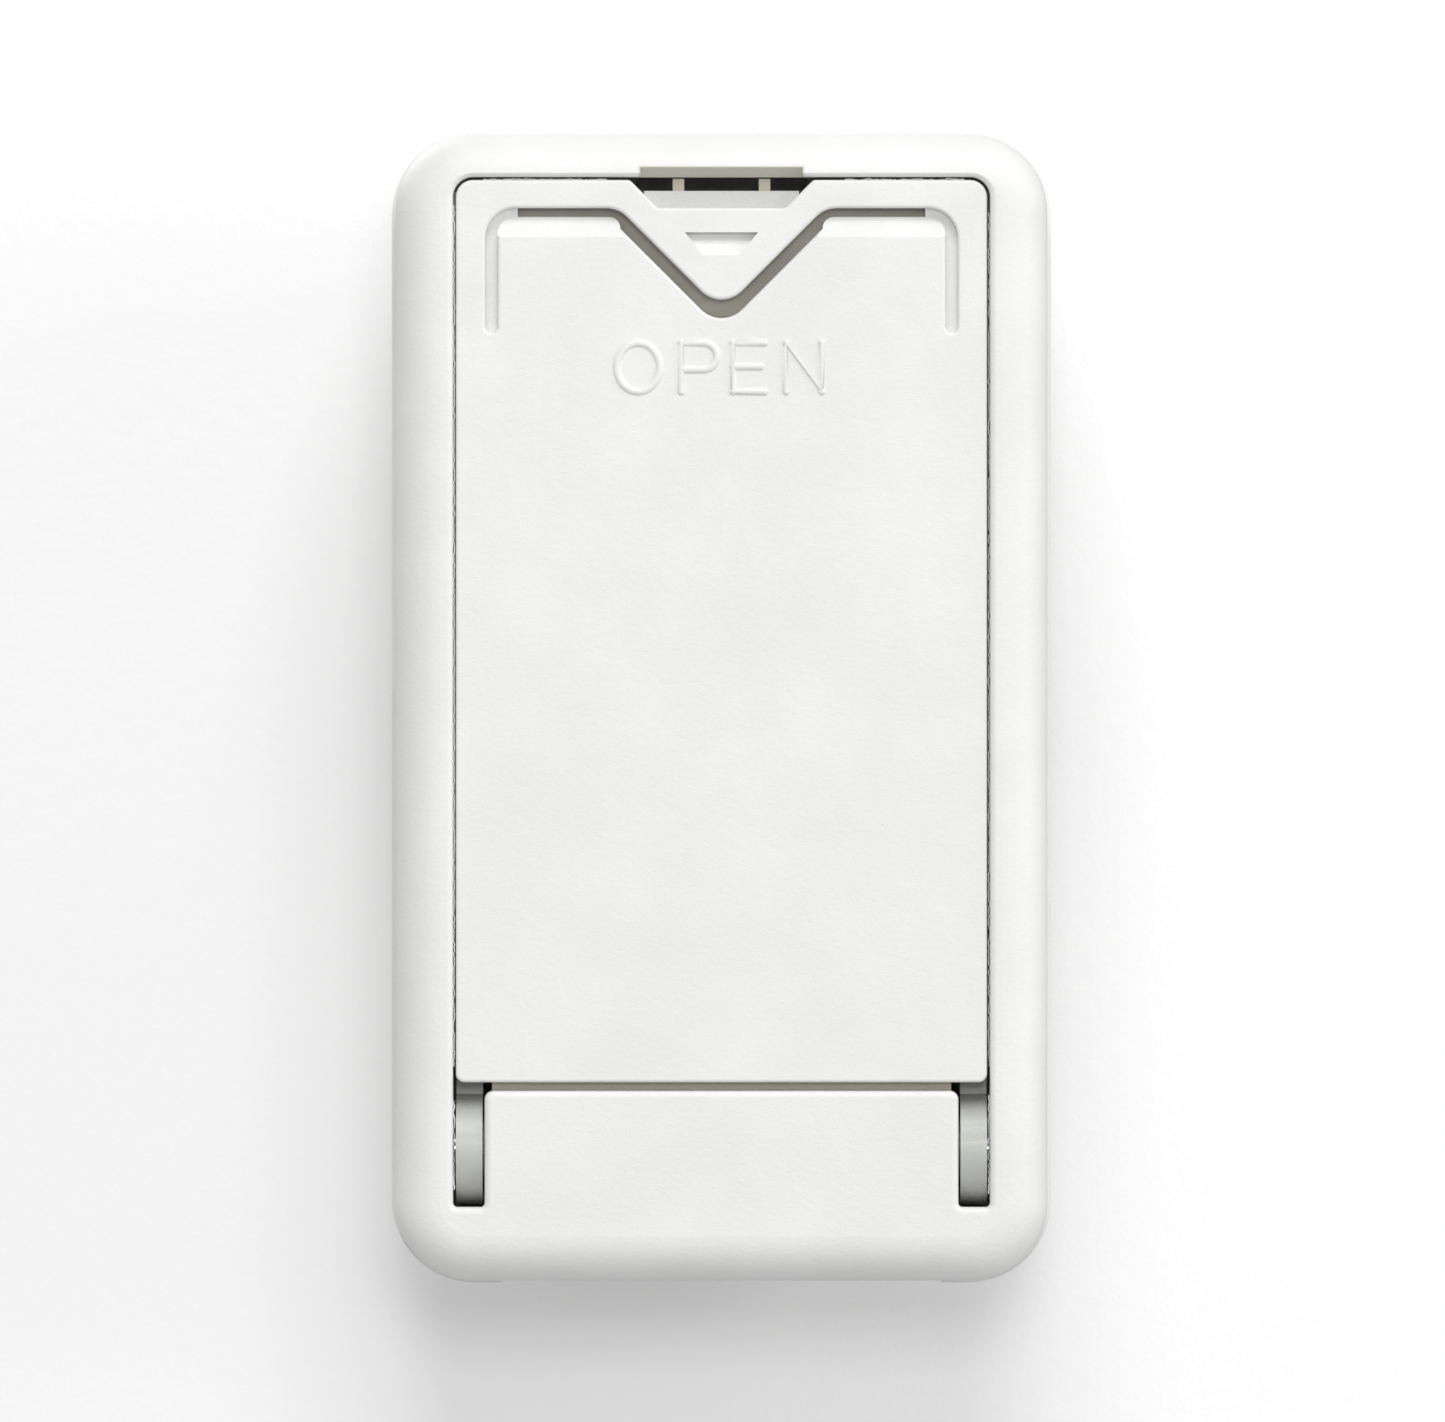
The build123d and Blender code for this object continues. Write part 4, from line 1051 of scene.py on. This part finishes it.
@dataclass
class MouldingFlash:
    """Thin ragged flash left on a few moulded edges."""

    finishes: Finishes
    bead_mm: float = 0.05
    bead_sides: int = 6
    tear_mm: float = 0.55
    step_mm: float = 0.08
    seed: int = 7
    reach_mm: float = 0.13

    def lines(self) -> list[FlashLine]:
        """The edges that have flash: the bars' tops, the pocket's sides and the arms' slots."""
        bar_y, bar_z = -27.4, 36.72
        wall_x, slot_y = 18.71, -27.0
        up = (0.0, 0.0, self.reach_mm)
        right = (self.reach_mm, 0.0, 0.0)
        left = (-self.reach_mm, 0.0, 0.0)
        edges = (
            ("bar_left", (-16.6, bar_y, bar_z), (-8.0, bar_y, bar_z), up, Body.FLAP),
            ("bar_right", (8.6, bar_y, bar_z), (16.9, bar_y, bar_z), up, Body.FLAP),
            ("pocket_right", (wall_x, -26.9, -25.0), (wall_x, -26.9, 34.5), left, Body.ROOT),
            ("pocket_left", (-18.68, -27.3, -25.0), (-18.68, -27.3, 35.0), (0.09, 0.0, 0.0), Body.ROOT),
            ("slot_left", (-wall_x, slot_y, -33.6), (-wall_x, slot_y, -27.4), right, Body.ROOT),
            ("slot_right", (wall_x, slot_y, -33.9), (wall_x, slot_y, -27.0), left, Body.ROOT),
        )
        return [FlashLine("flash_" + edge, *rest) for edge, *rest in edges]

    def tree(self) -> GeometryTree:
        """A fine bead along a line, pushed out by torn noise."""
        g = GeometryTree("ragged_flash")
        count = g.number("Points", "NodeSocketInt")
        reach = g.number("Reach", "NodeSocketVector")
        tear = g.number("Tear size")
        bead = g.number("Bead radius")
        seed = g.number("Seed")
        fine = g.wire("GeometryNodeResampleCurve", inputs={"Curve": g.geometry, "Count": count})
        place = g.wire("GeometryNodeInputPosition")
        torn = g.wire(
            "ShaderNodeTexNoise",
            {"noise_dimensions": "4D"},
            {"Vector": place, "W": seed, "Scale": 1.0 / tear, "Detail": 3.0, "Roughness": 0.75},
        )
        share = g.ramp(torn, 0.36, 0.64)
        offset = g.wire("ShaderNodeVectorMath", {"operation": "SCALE"}, {0: reach, "Scale": share})
        moved = g.wire("GeometryNodeSetPosition", inputs={0: fine, "Offset": offset})
        g.close(g.swept(moved, bead, self.bead_sides))
        return g

    def build(self) -> None:
        """Lays every line of flash."""
        tree = self.tree()
        for turn, line in enumerate(self.lines()):
            length = (Vector(line.end_mm) - Vector(line.start_mm)).length
            ends = [tuple(c * MM for c in point) for point in (line.start_mm, line.end_mm)]
            values = {
                "Points": int(length / self.step_mm),
                "Reach": tuple(c * MM for c in line.reach_mm),
                "Tear size": self.tear_mm * MM,
                "Bead radius": self.bead_mm * MM,
                "Seed": float(self.seed + turn),
                "Material": self.finishes.tab if line.body is Body.FLAP else self.finishes.flap,
            }
            piece = tree.make(line.name, poly_curve([(ends, False)]), values)
            if line.body is Body.ROOT:
                settle(piece, line.body)
                continue
            bend_with_bar(piece)


# ---------------------------------------------------------------------------------------------- stage


@dataclass
class Stage:
    """White backdrop, soft lights and the camera."""

    camera_distance: float = 1.2
    view_width: float = 0.1006
    camera_x: float = 0.00007
    camera_z: float = -0.00024
    wall_gap: float = 0.0006
    wall_size: float = 3.0
    ambient: float = 0.55

    def wall(self) -> bpy.types.Object:
        """The white ground just behind the mounting plate. It neither shades nor lights the latch."""
        half = self.wall_size / 2
        square = ((-half, -half), (half, -half), (half, half), (-half, half))
        corners = [(x, self.wall_gap, z) for x, z in square]
        mesh = bpy.data.meshes.new("backdrop")
        mesh.from_pydata(corners, [], [(0, 1, 2, 3)])
        wall = add_object("backdrop", mesh)
        mesh.materials.append(WhiteWall().material())
        wall.visible_diffuse = False
        wall.visible_glossy = False
        wall.visible_transmission = False
        wall.visible_shadow = False
        return wall

    def lamp(
        self, name: str, azimuth: float, elevation: float, distance: float, share: float, size: float
    ) -> bpy.types.Object:
        """A soft square light that faces the latch.

        Args:
            name: The light's name.
            azimuth: Degrees to the right of straight in front.
            elevation: Degrees above the horizontal.
            distance: Metres from the latch's middle.
            share: Brightness that it alone gives a pure white surface that faces it.
            size: Its side in metres.

        Returns:
            The light.
        """
        data = bpy.data.lights.new(name, "AREA")
        data.shape = "SQUARE"
        data.size = size
        data.energy = share * math.pi**2 * distance**2
        lamp = bpy.data.objects.new(name, data)
        bpy.context.scene.collection.objects.link(lamp)
        a, e = math.radians(azimuth), math.radians(elevation)
        out = Vector((math.sin(a) * math.cos(e), -math.cos(a) * math.cos(e), math.sin(e)))
        lamp.location = out * distance
        lamp.rotation_euler = (-out).to_track_quat("-Z", "Y").to_euler()
        return lamp

    def world(self) -> None:
        """Even white surroundings."""
        world = bpy.data.worlds.new("white_room")
        bpy.context.scene.world = world
        world.use_nodes = True
        background = world.node_tree.nodes["Background"]
        background.inputs["Color"].default_value = (1.0, 1.0, 1.0, 1.0)
        background.inputs["Strength"].default_value = self.ambient

    def camera(self) -> bpy.types.Object:
        """A long lens straight in front."""
        data = bpy.data.cameras.new("front_camera")
        data.sensor_width = 36.0
        data.lens = data.sensor_width * self.camera_distance / self.view_width
        data.clip_start = 0.05
        data.clip_end = 10.0
        camera = bpy.data.objects.new("front_camera", data)
        bpy.context.scene.collection.objects.link(camera)
        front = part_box("front_cover")[0].y
        camera.location = (self.camera_x, front - self.camera_distance, self.camera_z)
        camera.rotation_euler = (math.pi / 2, 0.0, 0.0)
        bpy.context.scene.camera = camera
        return camera

    def build(self) -> None:
        """Sets the stage."""
        self.world()
        lights = [
            self.lamp("front_box", 2.0, 9.0, 1.15, 0.16, 0.22),
            self.lamp("right_box", 68.0, 12.0, 1.2, 0.285, 0.60),
            self.lamp("top_box", 4.0, 48.0, 1.2, 0.453, 0.60),
            self.lamp("rear_box", 215.0, 35.0, 1.2, 0.40, 0.80),
        ]
        self.wall()
        self.camera()
        bpy.context.scene.view_settings.view_transform = "Standard"


def main() -> None:
    """Builds the latch's looks and its stage."""
    logging.basicConfig(level=logging.INFO, format="%(name)s: %(message)s")
    finishes = Finishes()
    CadDressing(finishes).build()
    Screws(finishes).build()
    ReturnSprings(finishes).build()
    SprungStrips(finishes).build()
    FlapWord(finishes).build()
    MouldingFlash(finishes).build()
    Stage().build()


if __name__ == "__main__":
    main()
